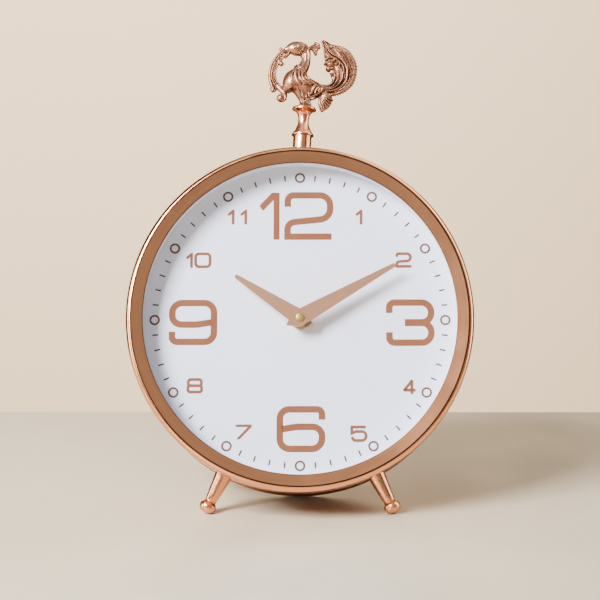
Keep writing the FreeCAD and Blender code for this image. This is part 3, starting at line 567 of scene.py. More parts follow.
# %% Mix the glass
tree, shader = finish("clear_glass")
patches = use(tree, smudges, Patches_per_cm=0.35)["Mask"]
feed(tree, shader, Transmission_Weight=1.0, IOR=1.5, Metallic=0.0,
     Base_Color=blend(tree, patches, (0.97, 0.975, 0.985, 1), (0.95, 0.96, 0.975, 1)),
     Roughness=times(tree, patches, 0.012))
path = node(tree, "LightPath")
through = reckon(tree, "MAXIMUM", path.outputs["Is Shadow Ray"], path.outputs["Is Diffuse Ray"])
clear = node(tree, "BsdfTransparent", {0: (0.97, 0.975, 0.985, 1)})
mixed = node(tree, "MixShader", {0: through, 1: shader.outputs[0], 2: clear.outputs[0]})
tree.links.new(mixed.outputs[0], tree.nodes["Material Output"].inputs[0])
print("glass", len(tree.nodes), "nodes")

# %% [markdown]
# ## Dressing a piece
# Each piece needs its finish, the body that it moves with, and the nodes of the engineering
# model that it stands for, which are hidden. A finish has the name of the slot that says what
# the piece is made of, unless the piece asks for others, so most pieces name it only once.

# %% Dress a piece
def dress(piece, body, slot, *nodes, looks=()):
    """Give a piece its finish and its body, and hide the nodes that it stands for."""
    for look in looks or (slot,):
        piece.data.materials.append(finishes[look])
    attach(piece, body)
    if nodes:
        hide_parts(*nodes)
    print(piece.name, len(piece.data.polygons), "faces")


# %% [markdown]
# ## The bezel and the drum
# The bezel is a spun ring. Its flat band is brushed to a satin and dished a little towards
# the glass, a fine groove parts it from the polished shoulder, and a plain skirt slips over
# the drum. The drum is the steel wall behind, with a wired bead rolled round its rear rim.
# Both are outlines swept round the dial's axis in many steps, so that the rims stay round
# in a close view.

# %% Spin the bezel
bezel_r, bezel_lip_r, skirt_r = 85.2, 76.7, 84.0
lip_z, glass_top_z, groove_r, groove_z = 14.3, 13.3, 82.3, 15.4
shoulder_low_z, skirt_end_z = 11.2, -6.0
lip_edge, groove_edge, groove_wide, groove_deep, groove_drop = 0.4, 0.2, 0.5, 0.7, 0.12
groove_end = groove_r + groove_wide
rise = (groove_z - lip_z) / (groove_r - bezel_lip_r)
band_outline = [(bezel_lip_r, glass_top_z, 0.0), (bezel_lip_r, lip_z, 0.22),
                (bezel_lip_r + lip_edge, lip_z + lip_edge * rise, 0.0),
                (groove_r - groove_edge, groove_z - groove_edge * rise, 0.0), (groove_r, groove_z, 0.12),
                (groove_r + groove_wide / 2, groove_z - groove_deep, 0.05),
                (groove_end, groove_z - groove_drop, 0.0)]
shoulder = arc((groove_end, shoulder_low_z), (bezel_r - groove_end, groove_z - shoulder_low_z), 88, 0, 16)
skirt_outline = [(bezel_r, skirt_end_z, 0.35), (skirt_r, skirt_end_z, 0.2), (skirt_r, glass_top_z, 0.0)]
bezel_outline = eased(band_outline + [(r, z, 0.0) for r, z in shoulder] + skirt_outline, 0.0)
bezel = lathe("bezel_spun", bezel_outline, clock_axes, 320)
upright_again = clock_axes.inverted()
SATIN, POLISHED, PAINTED_SHADE = 0, 1, 2
# The groove and the lip's inner edge take the near-black copper as painted shade. The shoulder and skirt are
# polished, and the band is satin.
for face in bezel.data.polygons:
    middle = upright_again @ face.center / MM
    around = math.hypot(middle.x, middle.y)
    in_groove = groove_r - groove_edge < around < groove_end + 0.08 and middle.z > groove_z - 0.8
    on_lip = around < bezel_lip_r + lip_edge and middle.z > glass_top_z
    on_shoulder = around >= groove_r - 0.05 or middle.z < glass_top_z
    face.material_index = PAINTED_SHADE if in_groove or on_lip else POLISHED if on_shoulder else SATIN
kept_inside(bezel)
dress(bezel, "case", "copper_satin", "bezel_ring", looks=("copper_satin", "copper_polished", "copper_painted_shade"))

# %% Spin the drum
drum_r, drum_inner_r, rim_z, bead_r, bead_step, dial_thick = 83.8, 82.9, -45.5, 1.6, 0.6, 0.8
bead = arc((drum_r, rim_z + bead_r), (bead_r, bead_r), 90, -90, 24)
drum_outline = [(drum_inner_r, rim_z), (drum_inner_r, -dial_thick), (drum_r, -dial_thick),
                (drum_r, rim_z + 2 * bead_r + bead_step)] + bead
drum = lathe("drum_spun", drum_outline, clock_axes, 320)
kept_inside(drum)
# Its darker copper is painted shade.
dress(drum, "case", "copper_satin", "case_drum", looks=("copper_drum_painted_shade",))

# %% [markdown]
# ## The dial
# The dial is a painted sheet under a white spacer ring. Its marks are printed: four large
# numerals, eight small ones, a ring at each hour and a stroke at each minute. A print has a
# real thickness, so each mark is a very thin plate whose top lies 0.03 mm above the paint.

# %% Lay the dial and its spacer
ring_r, spacer_r, glass_low_z, bush_hole_r = 83.8, 77.9, 11.3, 4.15
dial_outline = eased([(bush_hole_r, -dial_thick, 0), (ring_r, -dial_thick, 0), (ring_r, 0, 0.1),
                      (bush_hole_r, 0, 0.1)], 0.0)
dress(lathe("dial_sheet", dial_outline, clock_axes, 256), "case", "dial_white", "dial_plate")
spacer_outline = eased([(spacer_r, 0, 0.15), (ring_r, 0, 0), (ring_r, glass_low_z, 0),
                        (spacer_r, glass_low_z, 0.3)], 0.0)
dress(lathe("spacer_ring", spacer_outline, clock_axes, 256), "case", "white_plastic", "dial_spacer")

# %% Draw a printed stroke
PRINT_LOW, PRINT_HIGH = -0.02, 0.03
OVERPRINT = PRINT_HIGH + 0.004


def stroke(points, width, radius=0, closed=False, top=PRINT_HIGH):
    """Points and faces of a printed stroke of even width along a line with eased corners."""
    line = np.array(eased(points, radius, closed, steps=10, hold=0))
    before, after = np.roll(line, 1, axis=0), np.roll(line, -1, axis=0)
    if not closed:
        before[0] = 2 * line[0] - line[1]
        after[-1] = 2 * line[-1] - line[-2]
    ways = [(b - a) / np.linalg.norm(b - a, axis=1)[:, None] for a, b in ((before, line), (line, after))]
    normals = [np.stack([-w[:, 1], w[:, 0]], 1) for w in ways]
    mitre = normals[0] + normals[1]
    mitre /= (np.sum(mitre * normals[0], axis=1))[:, None]
    rows = [line + mitre * width / 2, line - mitre * width / 2]
    count = len(line)
    solid = [(x, y, z) for z in (PRINT_LOW, top) for row in rows for x, y in row]
    faces = []
    for k in range(count if closed else count - 1):
        j = (k + 1) % count
        (left_k, left_j), (right_k, right_j) = (k, j), (count + k, count + j)
        faces.append((2 * count + right_k, 2 * count + right_j, 2 * count + left_j, 2 * count + left_k))
        faces.append((2 * count + left_k, 2 * count + left_j, left_j, left_k))
        faces.append((right_k, right_j, 2 * count + right_j, 2 * count + right_k))
    if not closed:
        for k, flip in ((0, 1), (count - 1, -1)):
            faces.append((k, count + k, 3 * count + k, 2 * count + k)[::flip])
    return solid, faces


def filled(points):
    """Points and faces of a printed shape given by its outline, anticlockwise."""
    count = len(points)
    solid = [(x, y, z) for z in (PRINT_LOW, PRINT_HIGH) for x, y in points]
    faces = [tuple(range(count, 2 * count))]
    faces += [(k, (k + 1) % count, count + (k + 1) % count, count + k) for k in range(count)]
    return solid, faces


def moved(glyph, x, y):
    """Shift printed strokes on the dial."""
    return [([(a + x, b + y, c) for a, b, c in solid], faces) for solid, faces in glyph]


def print_marks(name, marks_made, look):
    """Join many printed marks into one piece on the dial."""
    points, faces = [], []
    for solid, corners in marks_made:
        faces += [tuple(k + len(points) for k in face) for face in corners]
        points += solid
    dress(make_piece(name, points, faces, clock_axes), "case", "dial_white", looks=(look,))


# %% [markdown]
# ## The numerals
# They are wide, square-shouldered figures of one even stroke with round corners. Each is
# drawn as the line that a pen of that width would follow, in millimetres from the lower
# left corner of the figure. The six is the nine turned half round.

# %% Print the large numerals
BIG = 3.3
one = filled([(10.2, -0.2), (10.2, 23.8), (6.3, 23.8), (0, 17.0), (1.9, 14.4), (7.15, 19.9), (7.15, -0.2)])
two = stroke([(1.7, 16.6), (1.7, 22.5, 4.8), (22.9, 22.5, 5.2), (22.9, 10.7, 5.4), (1.55, 8.5, 4.6),
              (1.55, 1.45, 0), (23.6, 1.45)], BIG)
nine_line = [(1.6, 6.7), (1.6, 1.6, 4.4), (22.3, 1.6, 4.6), (22.3, 21.0, 4.8), (1.6, 21.0, 5.0),
             (1.6, 10.2, 4.6), (14, 10.2, 8.0), (21.4, 11.4)]
three_high = [(1.55, 16.4), (1.55, 21.65, 4.8), (22.3, 21.65, 4.8), (22.3, 11.75, 4.6), (9.2, 11.75)]
three_low = [(1.55, 6.8), (1.55, 1.6, 4.8), (22.3, 1.6, 4.8), (22.3, 11.45, 4.6), (9.2, 11.45)]
nine_w, nine_h = 23.9, 22.6
six_line = [(nine_w - p[0], nine_h - p[1], *p[2:]) for p in nine_line]
large = moved([one], -20.4, 40.7) + moved([two], -7.8, 40.6)
large += moved([stroke(three_high, BIG), stroke(three_low, BIG, top=OVERPRINT)], 42.7, -12.9)
large += moved([stroke(nine_line, BIG)], -64.9, -12.5)
large += moved([stroke(six_line, BIG)], -11.5, -65.3)
print_marks("large_numerals", large, "numeral_print")

# %% Print the small numerals
SMALL = 1.5
small_one = [filled([(3.6, 0), (3.6, 7.6), (2.6, 7.6), (-0.1, 5.3), (0.8, 4.2), (2.15, 5.4), (2.15, 0)])]
small_zero = [stroke([(0.6, 0.6), (7.8, 0.6), (7.8, 7.1), (0.6, 7.1)], SMALL, 1.7, True)]
small_two = [stroke([(0.6, 5.4), (0.6, 7.0, 1.5), (7.3, 7.0, 1.8), (7.3, 3.4, 1.8), (0.6, 2.9, 1.6),
                     (0.6, 0.58, 0), (7.8, 0.58)], SMALL)]
small_four = [stroke([(6.9, 1.95), (1.35, 1.95, 0.1), (5.1, 6.6, 0.1), (5.1, 0)], SMALL)]
small_five = [stroke([(7.5, 7.2), (0.6, 7.2, 0), (0.6, 4.2, 0), (2.6, 5.0, 1.2), (7.6, 5.0, 2.2),
                      (7.6, 0.6, 2.3), (1.5, 0.6, 1.6), (0.6, 2.4)], SMALL)]
small_seven = [filled([(0, 5.95), (5.9, 5.95), (0.2, 0), (2.1, 0), (8.0, 6.1), (8.0, 6.9), (7.7, 7.3),
                       (0, 7.3)])]
small_eight = [stroke([(0.75, 3.75), (7.25, 3.75), (7.25, 6.8), (0.75, 6.8)], SMALL, 1.2, True),
               stroke([(0.6, 0.6), (7.4, 0.6), (7.4, 3.75), (0.6, 3.75)], SMALL, 1.2, True, OVERPRINT)]
small = []
for glyph, x, y in ((small_one, 27.7, 48.2), (small_one, -36.3, 48.2), (small_one, -30.0, 48.2),
                    (small_one, -56.9, 26.2), (small_zero, -52.6, 26.2), (small_two, 47.7, 26.4),
                    (small_four, 50.0, -36.8), (small_five, 24.8, -60.2), (small_seven, -31.6, -59.0),
                    (small_eight, -55.8, -36.4)):
    small += moved(glyph, x, y)
print_marks("small_numerals", small, "numeral_print")

# %% Print the hour rings and the minute strokes
MARK_R = 72.0
hour_rings, minute_strokes = [], []
for minute in range(60):
    bearing = minute * 6.0
    if minute % 5 == 0:
        hour_rings += moved([stroke(circle(2.15), 1.05, closed=True)], *polar(MARK_R, bearing))
    else:
        minute_strokes.append(stroke([polar(MARK_R - 1.5, bearing), polar(MARK_R + 1.5, bearing)], 0.8))
print_marks("hour_rings", hour_rings, "ring_print")
print_marks("minute_strokes", minute_strokes, "tick_print")

# %% [markdown]
# ## The hands
# The hands are stamped from thin sheet and lacquered. Each is a long kite with a rounded
# tip, a pointed tail and a riveted hub behind. Stamping rolls the front edge over a little,
# and that eased rim is what catches the light along one side.

# %% Stamp the hands
def stamp_hand(name, length, low, bore, hub_high, bearing, body, node_name):
    """Kite-shaped blade with its hub, turned to the bearing that it rests at."""
    half, tail, shoulder_y, tip_r, hub_r, thick = 4.35, 8.0, 1.6, 1.1, 3.4, 0.5
    lift = math.degrees(math.asin((half - tip_r) / (length + shoulder_y - tip_r)))
    tip = arc((0, length - tip_r), (tip_r, tip_r), lift, 180 - lift, 12)
    outer = eased([(0, -tail, 0.25), (half, -shoulder_y, 0.3)] + [(x, y, 0.0) for x, y in tip]
                  + [(-half, -shoulder_y, 0.3)], 0.0, hold=0)
    place = clock_axes @ turned_about("Z", -bearing)
    blade = plate(name, [outer, circle(bore)], low, low + thick, 0.2, place)
    up = place.to_3x3() @ Vector((0, 0, 1))
    for face in blade.data.polygons:
        face.material_index = int(face.normal @ up < 0.9)
    dress(blade, body, "hand_copper", node_name, looks=("hand_lacquer", "copper_turned"))
    hub = eased([(bore, low - hub_high, 0.1), (hub_r, low - hub_high, 0.15), (hub_r, low, 0),
                 (bore, low, 0)], 0)
    dress(lathe(name + "_hub", hub, place, 64), body, "hand_copper", looks=("brass",))


stamp_hand("hour_blade", 38.4, 7.2, 2.8, 1.2, 303.3, "hour", "hour_hand")
stamp_hand("minute_blade", 54.0, 8.9, 1.73, 0.6, 60.6, "minute", "minute_hand")

# %% Turn the cap nut and the dial nut
cap_low, cap_r, cap_h = 9.4, 2.05, 0.9
cap_outline = [(0, cap_low), (cap_r, cap_low)] + arc((cap_r - 0.35, cap_low + 0.45), (0.35, 0.35), 0, 80, 5)
cap_outline += [(1.0, cap_low + cap_h - 0.03), (0, cap_low + cap_h)]
dress(lathe("hand_cap", cap_outline, clock_axes, 64), "minute", "brass", "minute_cap")
nut_outline = eased([(4.0, 0, 0), (4.8, 0, 0.1), (4.8, 2.2, 0.35), (4.0, 2.2, 0.15)], 0)
dress(lathe("dial_nut", nut_outline, clock_axes, 96), "case", "brass", "movement_nut")

# %% [markdown]
# ## The feet and the column
# These are bar work from a lathe, so each is a profile swept round its own axis. The foot
# tapers to a sharp neck and ends in a slightly flattened ball, with a small flat where it
# stands. The column under the bird is a plain collar, a skirted flange and a slim waist
# that opens like a trumpet to the disc.

# %% Turn the feet
foot_r, neck_r, ball_r, foot_gap, foot_splay = 4.45, 3.0, 3.0, 0.8, 26.5
foot_z = skirt_end_z - foot_r - foot_gap
cone_r, cone_low, cone_high = 4.42, 0.62, 14.5
foot_outline = [(0, -0.45), (foot_r, -0.45), (foot_r, 0.5), (cone_r, cone_low)]
foot_outline += [(cone_r + (neck_r - cone_r) * k / 6, cone_low + (cone_high - cone_low) * k / 6)
                 for k in range(1, 7)]
foot_outline += [(2.9, 14.75), (2.78, 15.1), (2.82, 15.5), (3.0, 15.85)]
foot_outline += arc((1.2, 18.4), (ball_r, ball_r), -44, 88, 20) + [(0, 21.4)]
for side, bearing in (("right", 180 - foot_splay), ("left", 180 + foot_splay)):
    x, y = polar(drum_r, bearing)
    place = clock_axes @ spot(x, y, foot_z) @ turned_about("Z", -bearing) @ turned_about("X", -90)
    foot = lathe(side + "_foot_turned", foot_outline, place, 96)
    kept_inside(foot)
    dress(foot, "case", "copper_turned", side + "_foot")

# %% Turn the collar and the column
finial_axes = clock_axes @ spot(0.5, drum_r, foot_z) @ turned_about("Z", -3.5)
upright = finial_axes @ turned_about("X", -90)
bore_r, collar_r, collar_top, column_top = 2.2, 4.75, 13.0, 27.1
collar_outline = eased([(bore_r, -0.6, 0), (collar_r, -0.6, 0), (collar_r, collar_top, 0.12),
                        (bore_r, collar_top, 0)], 0)
dress(lathe("collar_turned", collar_outline, upright, 96), "case", "copper_turned", "finial_collar")
bell = flow(((5.5, 13.85), (5.2, 14.5), (4.2, 15.9), (3.4, 17.6), (2.9, 19.1), (2.75, 20.6), (2.82, 22.2),
             (3.2, 24.0), (4.3, 25.5), (5.9, 26.4)), 4)
flange = [(bore_r, collar_top, 0), (5.75, collar_top, 0.12), (5.75, 13.6, 0.2)]
disc = [(6.25, 26.55, 0.12), (6.25, column_top, 0.2), (bore_r, column_top, 0)]
column_outline = eased(flange + [(r, z, 0) for r, z in bell] + disc, 0)
dress(lathe("column_turned", column_outline, upright, 96), "case", "copper_turned", "finial_column")

# %% [markdown]
# ## The peacock
# The finial is a small casting of a peacock with a garland in its beak. A sculptor would
# build it up in wax: an armature of limbs, then ribs and scales laid on, then the joints
# softened. The same order works here. Each limb is a tapered tube along a smooth line, all
# of them are melted into one skin by a voxel remesh, and a light smoothing softens the
# joints as polishing does.

# %% Lay limbs along smooth lines
cast_points, cast_faces = [], []


def limb(rows, steps=6, sides=12, wide=None, deep=None, level=0.0):
    """Add a tapered tube. A row is x, y, half width in the plane and half depth.

    A call can give the width and the depth for all rows. The level is the height over the
    middle plane, or a rule that finds it from x and y.
    """
    height = level if callable(level) else lambda x, y: level
    line = flow([(*row[:2], height(*row[:2]), wide or row[2], deep or row[-1]) for row in rows], steps)
    way = np.gradient(line[:, :2], axis=0)
    way /= np.maximum(np.linalg.norm(way, axis=1), 1e-9)[:, None]
    first = len(cast_points)
    for (x, y, z, across, through), (wx, wy) in zip(line, way):
        for k in range(sides):
            a = 2 * math.pi * k / sides
            out = max(across, 0.02) * math.cos(a)
            cast_points.append((x - wy * out, y + wx * out, z + max(through, 0.02) * math.sin(a)))
    for k in range(len(line) - 1):
        for i in range(sides):
            j = (i + 1) % sides
            low, high = first + k * sides, first + (k + 1) * sides
            cast_faces.append((low + i, low + j, high + j, high + i))
    last = first + (len(line) - 1) * sides
    cast_faces.append(tuple(range(first, first + sides))[::-1])
    cast_faces.append(tuple(range(last, last + sides)))


def ball_at(x, y, level, wide, deep=None):
    """Add a ball, flatter or longer through the casting where a depth is given."""
    turns = [math.pi * k / 8 for k in range(9)]
    limb([(x, y - wide * math.cos(a), wide * math.sin(a), (deep or wide) * math.sin(a)) for a in turns],
         1, 16, level=level)


def both_sides(make):
    """Run a maker for the front and for the back of the casting."""
    for side in (1, -1):
        make(side)


# %% Build up the body, neck and head
masses = []


def mass(rows, sides=64):
    """Big limb on the middle plane, which others can lie on."""
    limb(rows, 12, sides)
    masses.extend(flow(rows, 12))


def skin(x, y):
    """Half depth of the big limbs above a point of the middle plane."""
    depth = 0.5
    for cx, cy, wide, deep in masses:
        inside = 1 - ((x - cx) ** 2 + (y - cy) ** 2) / wide ** 2
        depth = max(depth, deep * math.sqrt(max(inside, 0.0)))
    return depth


breast = ((-3.7, 20.1, 2.4, 3.2), (-5.1, 18.3, 3.6, 4.6), (-6.5, 16.0, 4.6, 5.5), (-7.1, 13.7, 4.85, 5.8),
          (-6.9, 11.9, 4.75, 5.6), (-6.0, 10.5, 4.2, 5.0))
back = ((-6.4, 13.4, 5.0, 5.8), (-2.7, 13.2, 5.7, 5.8), (1.4, 11.8, 4.8, 4.8), (5.3, 11.4, 3.1, 3.4),
        (8.5, 11.7, 2.0, 2.4), (11.0, 12.2, 1.5, 2.0))
neck = ((-4.4, 15.3, 5.2, 5.2), (-3.6, 18.3, 4.1, 4.3), (-2.5, 20.7, 3.15, 3.4), (-1.4, 22.8, 2.5, 2.9),
        (-0.7, 25.0, 2.15, 2.5), (-0.6, 27.3, 2.2, 2.4), (-0.8, 29.8, 2.4, 2.4), (-1.8, 31.8, 2.6, 2.5))
head = ((0.4, 32.0, 0.9, 0.9), (-0.3, 31.9, 2.1, 2.0), (-2.2, 31.9, 3.3, 2.9), (-5.0, 31.9, 3.8, 3.3),
        (-7.4, 31.9, 3.55, 3.1), (-9.2, 31.6, 2.75, 2.5), (-10.5, 31.2, 1.8, 1.7),
        (-11.8, 30.5, 1.1, 1.3), (-13.2, 29.9, 0.9, 1.1))
legs = ((-2.7, 11.0, 4.6, 4.8), (-1.9, 7.9, 3.1, 3.6), (-1.0, 5.6, 2.3, 2.8), (-0.5, 3.4, 2.1, 2.4),
        (-0.3, 1.7, 2.4, 2.5), (-0.1, 0.7, 3.2, 3.2))
heel = ((0.8, 7.9, 2.0, 3.0), (1.3, 5.7, 1.7, 2.6), (1.5, 3.7, 1.6, 2.4), (1.7, 2.1, 1.9, 2.4),
        (1.8, 0.8, 2.6, 2.6))
nape = ((0.0, 30.9, 1.0, 2.6), (0.7, 28.6, 0.95, 2.7), (0.8, 26.0, 0.95, 2.8), (0.5, 23.4, 1.0, 3.1),
        (-0.3, 20.9, 1.05, 3.4), (-1.2, 18.9, 1.0, 3.6))
throat = ((-2.3, 28.9, 0.95, 2.6), (-2.1, 26.5, 0.95, 2.7), (-2.6, 24.4, 1.0, 3.0), (-3.6, 22.6, 1.1, 3.2),
          (-4.7, 20.9, 1.1, 3.3))
for rows in (breast, back, neck, head, legs, heel):
    mass(rows)
for rows in (nape, throat):
    limb(rows, 6, 16)
print("armature", len(cast_faces), "faces")


# %% Set the collar, the eye and the crest
def ring_round(x, y, way, radius, thick, steps=40, sides=10):
    """Add a ring that circles a limb, square to a direction in the plane."""
    centre, way = Vector((x, y, 0)), Vector((*way, 0)).normalized()
    side, through = Vector((-way.y, way.x, 0)), Vector((0, 0, 1))
    first = len(cast_points)
    for k in range(steps):
        a = 2 * math.pi * k / steps
        out = side * math.cos(a) + through * math.sin(a)
        for i in range(sides):
            b = 2 * math.pi * i / sides
            cast_points.append(centre + out * radius + (out * math.cos(b) + way * math.sin(b)) * thick)
            low, high = first + k * sides, first + (k + 1) % steps * sides
            cast_faces.append((low + i, high + i, high + (i + 1) % sides, low + (i + 1) % sides))


def raised(rows, side, lift, thick, sides=12, least=0.0):
    """Rib that lies on the skin of the big limbs: x, y and half width."""
    limb(rows, 6, sides, deep=thick, level=lambda x, y: side * (max(skin(x, y), least) + lift))


cheek_band = (((-1.9, 34.0), (0.0, 32.9)), ((-2.1, 33.0), (0.0, 31.8)), ((-2.3, 31.9), (-0.4, 30.6)),
              ((-2.8, 30.9), (-1.1, 29.4)), ((-3.5, 30.0), (-2.0, 28.3)), ((-4.0, 29.1), (-3.1, 27.4)))
crest_ribs = (((0.1, 32.6), (2.4, 34.0), (4.4, 34.9)), ((0.3, 32.3), (2.8, 33.1), (5.8, 33.5)),
              ((0.3, 32.0), (2.9, 31.7), (4.1, 29.7)))
crest_lobes = ((3.9, 35.1, 1.05), (5.2, 34.5, 0.95), (5.7, 33.1, 0.85), (4.6, 31.9, 0.8), (4.1, 29.6, 0.9))


def head_details(side):
    """Ringed eye and the hatched band behind the cheek."""
    x, y = -6.0, 32.3
    level = side * (skin(x, y) + 0.05)
    for k in range(16):
        a = 2 * math.pi * k / 16
        ball_at(x + 1.05 * math.cos(a), y + 1.05 * math.sin(a), level, 0.34)
    ball_at(x, y, level, 0.5)
    for start, end in cheek_band:
        raised([(*start, 0.28), (*end, 0.28)], side, 0.12, 0.4, 8)


for x, y, radius in ((-3.3, 19.6, 3.9), (-2.7, 20.7, 3.55)):
    ring_round(x, y, (0.62, 0.78), radius, 0.48)
both_sides(head_details)
mass([(0.1, 32.3, 0.8, 0.9), (1.6, 32.9, 0.9, 0.9), (3.1, 33.2, 1.7, 0.9), (4.6, 33.6, 1.9, 0.9),
      (5.5, 33.9, 1.4, 0.8)], 14)
limb([(2.4, 32.4, 1.1, 0.8), (3.5, 31.4, 1.2, 0.8), (4.0, 30.1, 1.0, 0.8), (4.0, 29.4, 0.6, 0.7)], 5, 18)
for rows in crest_ribs:
    limb(rows, 6, 10, 0.34, 1.4)
for x, y, size in crest_lobes:
    ball_at(x, y, 0, size, 1.2)
print("head set", len(cast_faces), "faces")

# %% Lay the wing and the thigh
wing_ribs = (
    ((-6.5, 19.3, 0.2), (-7.4, 16.4, 0.35), (-7.0, 13.3, 0.4), (-5.2, 11.0, 0.3)),
    ((-5.2, 21.1, 0.3), (-5.8, 18.3, 0.55), (-5.4, 15.3, 0.6), (-4.0, 12.4, 0.55), (-2.4, 11.2, 0.35)),
    ((-3.5, 19.9, 0.3), (-4.0, 17.4, 0.55), (-3.1, 14.7, 0.6), (-1.3, 12.6, 0.55), (0.3, 11.6, 0.35)),
    ((-2.1, 19.0, 0.3), (-2.2, 16.5, 0.5), (-1.0, 14.2, 0.55), (1.1, 12.6, 0.55), (2.8, 11.9, 0.35)),
    ((-0.8, 17.9, 0.3), (-0.3, 15.8, 0.5), (1.5, 14.1, 0.5), (3.7, 12.9, 0.5), (5.5, 12.5, 0.3)),
    ((0.7, 16.5, 0.3), (2.0, 15.1, 0.45), (4.4, 14.0, 0.45), (6.9, 13.3, 0.3)))
feathers = (
    ((3.3, 7.4, 0.45), (3.7, 9.3, 0.72), (4.6, 11.2, 0.62), (5.6, 12.4, 0.35)),
    ((5.0, 7.9, 0.45), (5.6, 9.6, 0.72), (6.8, 11.3, 0.55), (7.6, 12.2, 0.3)),
    ((6.7, 8.9, 0.4), (7.5, 10.3, 0.6), (8.7, 11.8, 0.35)))
long_feather = ((1.9, 7.1, 0.7), (3.3, 8.5, 1.7), (5.4, 9.9, 1.9), (7.3, 11.4, 1.4), (8.8, 12.6, 0.5))
feather_rim = ((1.6, 9.2, 0.4), (1.8, 7.2, 0.4), (2.7, 6.0, 0.45), (5.6, 7.1, 0.45), (8.1, 9.3, 0.4),
               (9.2, 11.7, 0.3))
thigh_front = ((-4.6, 11.4, 0.35), (-3.5, 8.9, 0.45), (-2.2, 6.3, 0.45), (-1.7, 4.9, 0.35))
thigh_shape = ((-1.7, 11.2, 2.5), (-0.8, 8.8, 2.0), (-0.3, 6.8, 1.5), (0.0, 5.2, 1.1))
rib_boldness = 1.15


def wing(side):
    """Ribs from the collar to the tail, and the long feather that closes the wing."""
    for rows in wing_ribs:
        raised([(x, y, wide * rib_boldness) for x, y, wide in rows], side, 0.3, 0.7)
    limb(long_feather, 6, 16, deep=0.8, level=side * 2.3)
    limb(feather_rim, deep=0.8, level=side * 2.9)
    for rows in feathers:
        raised(rows, side, 0.25, 0.75, least=2.9)


def thigh(side):
    """Rows of small scales on a raised thigh that narrows to the ankle, and its smooth front edge."""
    raised(thigh_shape, side, -0.4, 0.8, 16)
    raised(thigh_front, side, 0.15, 0.6)
    for row, (x, y, wide) in enumerate(flow(thigh_shape, 5)[1:]):
        count = max(2, round(wide * 2 / 0.95))
        for k in range(count):
            aside = wide * (2 * (k + 0.5) / count - 1) * 0.85 + 0.2 * (-1) ** row
            ball_at(x + aside, y, side * (skin(x + aside, y) + 0.3), 0.38)
    for x in (-1.1, -0.2, 0.7):
        ball_at(x, 4.0, side * (skin(-0.2, 4.0) + 0.05), 0.4)


both_sides(wing)
both_sides(thigh)
print("wing and thigh laid", len(cast_faces), "faces")

# %% Fan out the tail
tail_inner = ((9.2, 13.1), (11.1, 13.6), (13.0, 15.0), (13.6, 17.2), (12.7, 19.4), (11.6, 21.4), (9.9, 23.9),
              (9.1, 26.7), (8.3, 30.0), (7.5, 33.6), (7.0, 36.4))
tail_outer = ((9.0, 10.0), (11.9, 7.9), (16.9, 8.9), (21.3, 11.6), (24.2, 15.2), (25.4, 20.0),
              (25.3, 24.9), (23.1, 29.7), (19.2, 33.2), (13.4, 34.5), (8.9, 36.4))
tail_ribs = (
    ((10.4, 12.3, 0.4), (12.5, 13.3, 0.5), (14.0, 15.2, 0.5), (14.7, 17.7, 0.45), (13.9, 19.8, 0.3)),
    ((10.5, 11.5, 0.4), (13.6, 12.5, 0.55), (15.6, 15.1, 0.6), (16.4, 18.2, 0.55), (15.6, 21.2, 0.35)),
    ((10.5, 10.7, 0.4), (14.4, 11.8, 0.55), (17.2, 14.2, 0.6), (18.5, 17.5, 0.6), (18.2, 20.8, 0.5),
     (16.6, 23.0, 0.3)),
    ((10.4, 9.9, 0.5), (14.5, 10.5, 0.65), (17.9, 12.5, 0.75), (20.2, 15.6, 0.8), (20.9, 19.7, 0.8),
     (20.2, 23.4, 0.75), (18.2, 26.4, 0.7), (15.3, 28.5, 0.65), (12.5, 29.8, 0.55), (10.6, 31.7, 0.5),
     (9.9, 34.0, 0.4), (8.0, 36.4, 0.3)),
    ((18.7, 18.8, 0.3), (19.1, 21.7, 0.45), (18.0, 24.3, 0.5), (15.6, 26.5, 0.5), (12.6, 28.2, 0.45),
     (10.1, 30.3, 0.4), (9.0, 32.8, 0.3)))
inner_line, outer_line = flow(tail_inner, 6), flow(tail_outer, 6)
breadth = np.linalg.norm(outer_line - inner_line, axis=1)


def up_the_tail(share):
    """Line that runs up the tail at a share of the way from its inner to its outer edge."""
    return inner_line * (1 - share) + outer_line * share


for share, depth in ((0.16, 1.0), (0.38, 1.0), (0.62, 0.85), (0.83, 0.7)):
    limb([(x, y, max(wide * 0.17, 0.5), depth) for (x, y), wide in zip(up_the_tail(share), breadth)], 1, 16)
for rows in tail_ribs:
    limb([(x, y, wide, 1.75 + wide) for x, y, wide in rows], 8, 14)
limb(up_the_tail(0.93)[7:-8], 1, 10, 0.32, 1.75)
print("tail ribs", len(cast_faces), "faces")

# %% Hatch the tail and notch its edge
hatch_low, hatch_high = inner_line * 0.19 + outer_line * 0.81, inner_line * 0.01 + outer_line * 0.99
for start, end in zip(hatch_low[9:-9], hatch_high[9:-9]):
    limb([(*start, 0.28, 1.2), (*((start + end) / 2), 0.32, 1.9), (*end, 0.34, 1.4)], 3, 10)
edge_run = np.cumsum(np.r_[0, np.linalg.norm(np.diff(outer_line, axis=0), axis=1)])
for run in np.arange(7.0, edge_run[-1] - 3.0, 1.5):
    ball_at(np.interp(run, edge_run, outer_line[:, 0]), np.interp(run, edge_run, outer_line[:, 1]), 0,
            0.62, 1.3)


def stipple(side):
    """Staggered scales on the band between the boldest rib and the hatching."""
    for k in range(11, len(inner_line) - 11):
        for n, share in enumerate((0.63, 0.71, 0.79)):
            line = up_the_tail(share)
            x, y = (line[k] + line[k + 1]) / 2 if n % 2 else line[k]
            ball_at(x, y, side * 0.8, 0.36, 0.9)


both_sides(stipple)
print("tail hatched", len(cast_faces), "faces")

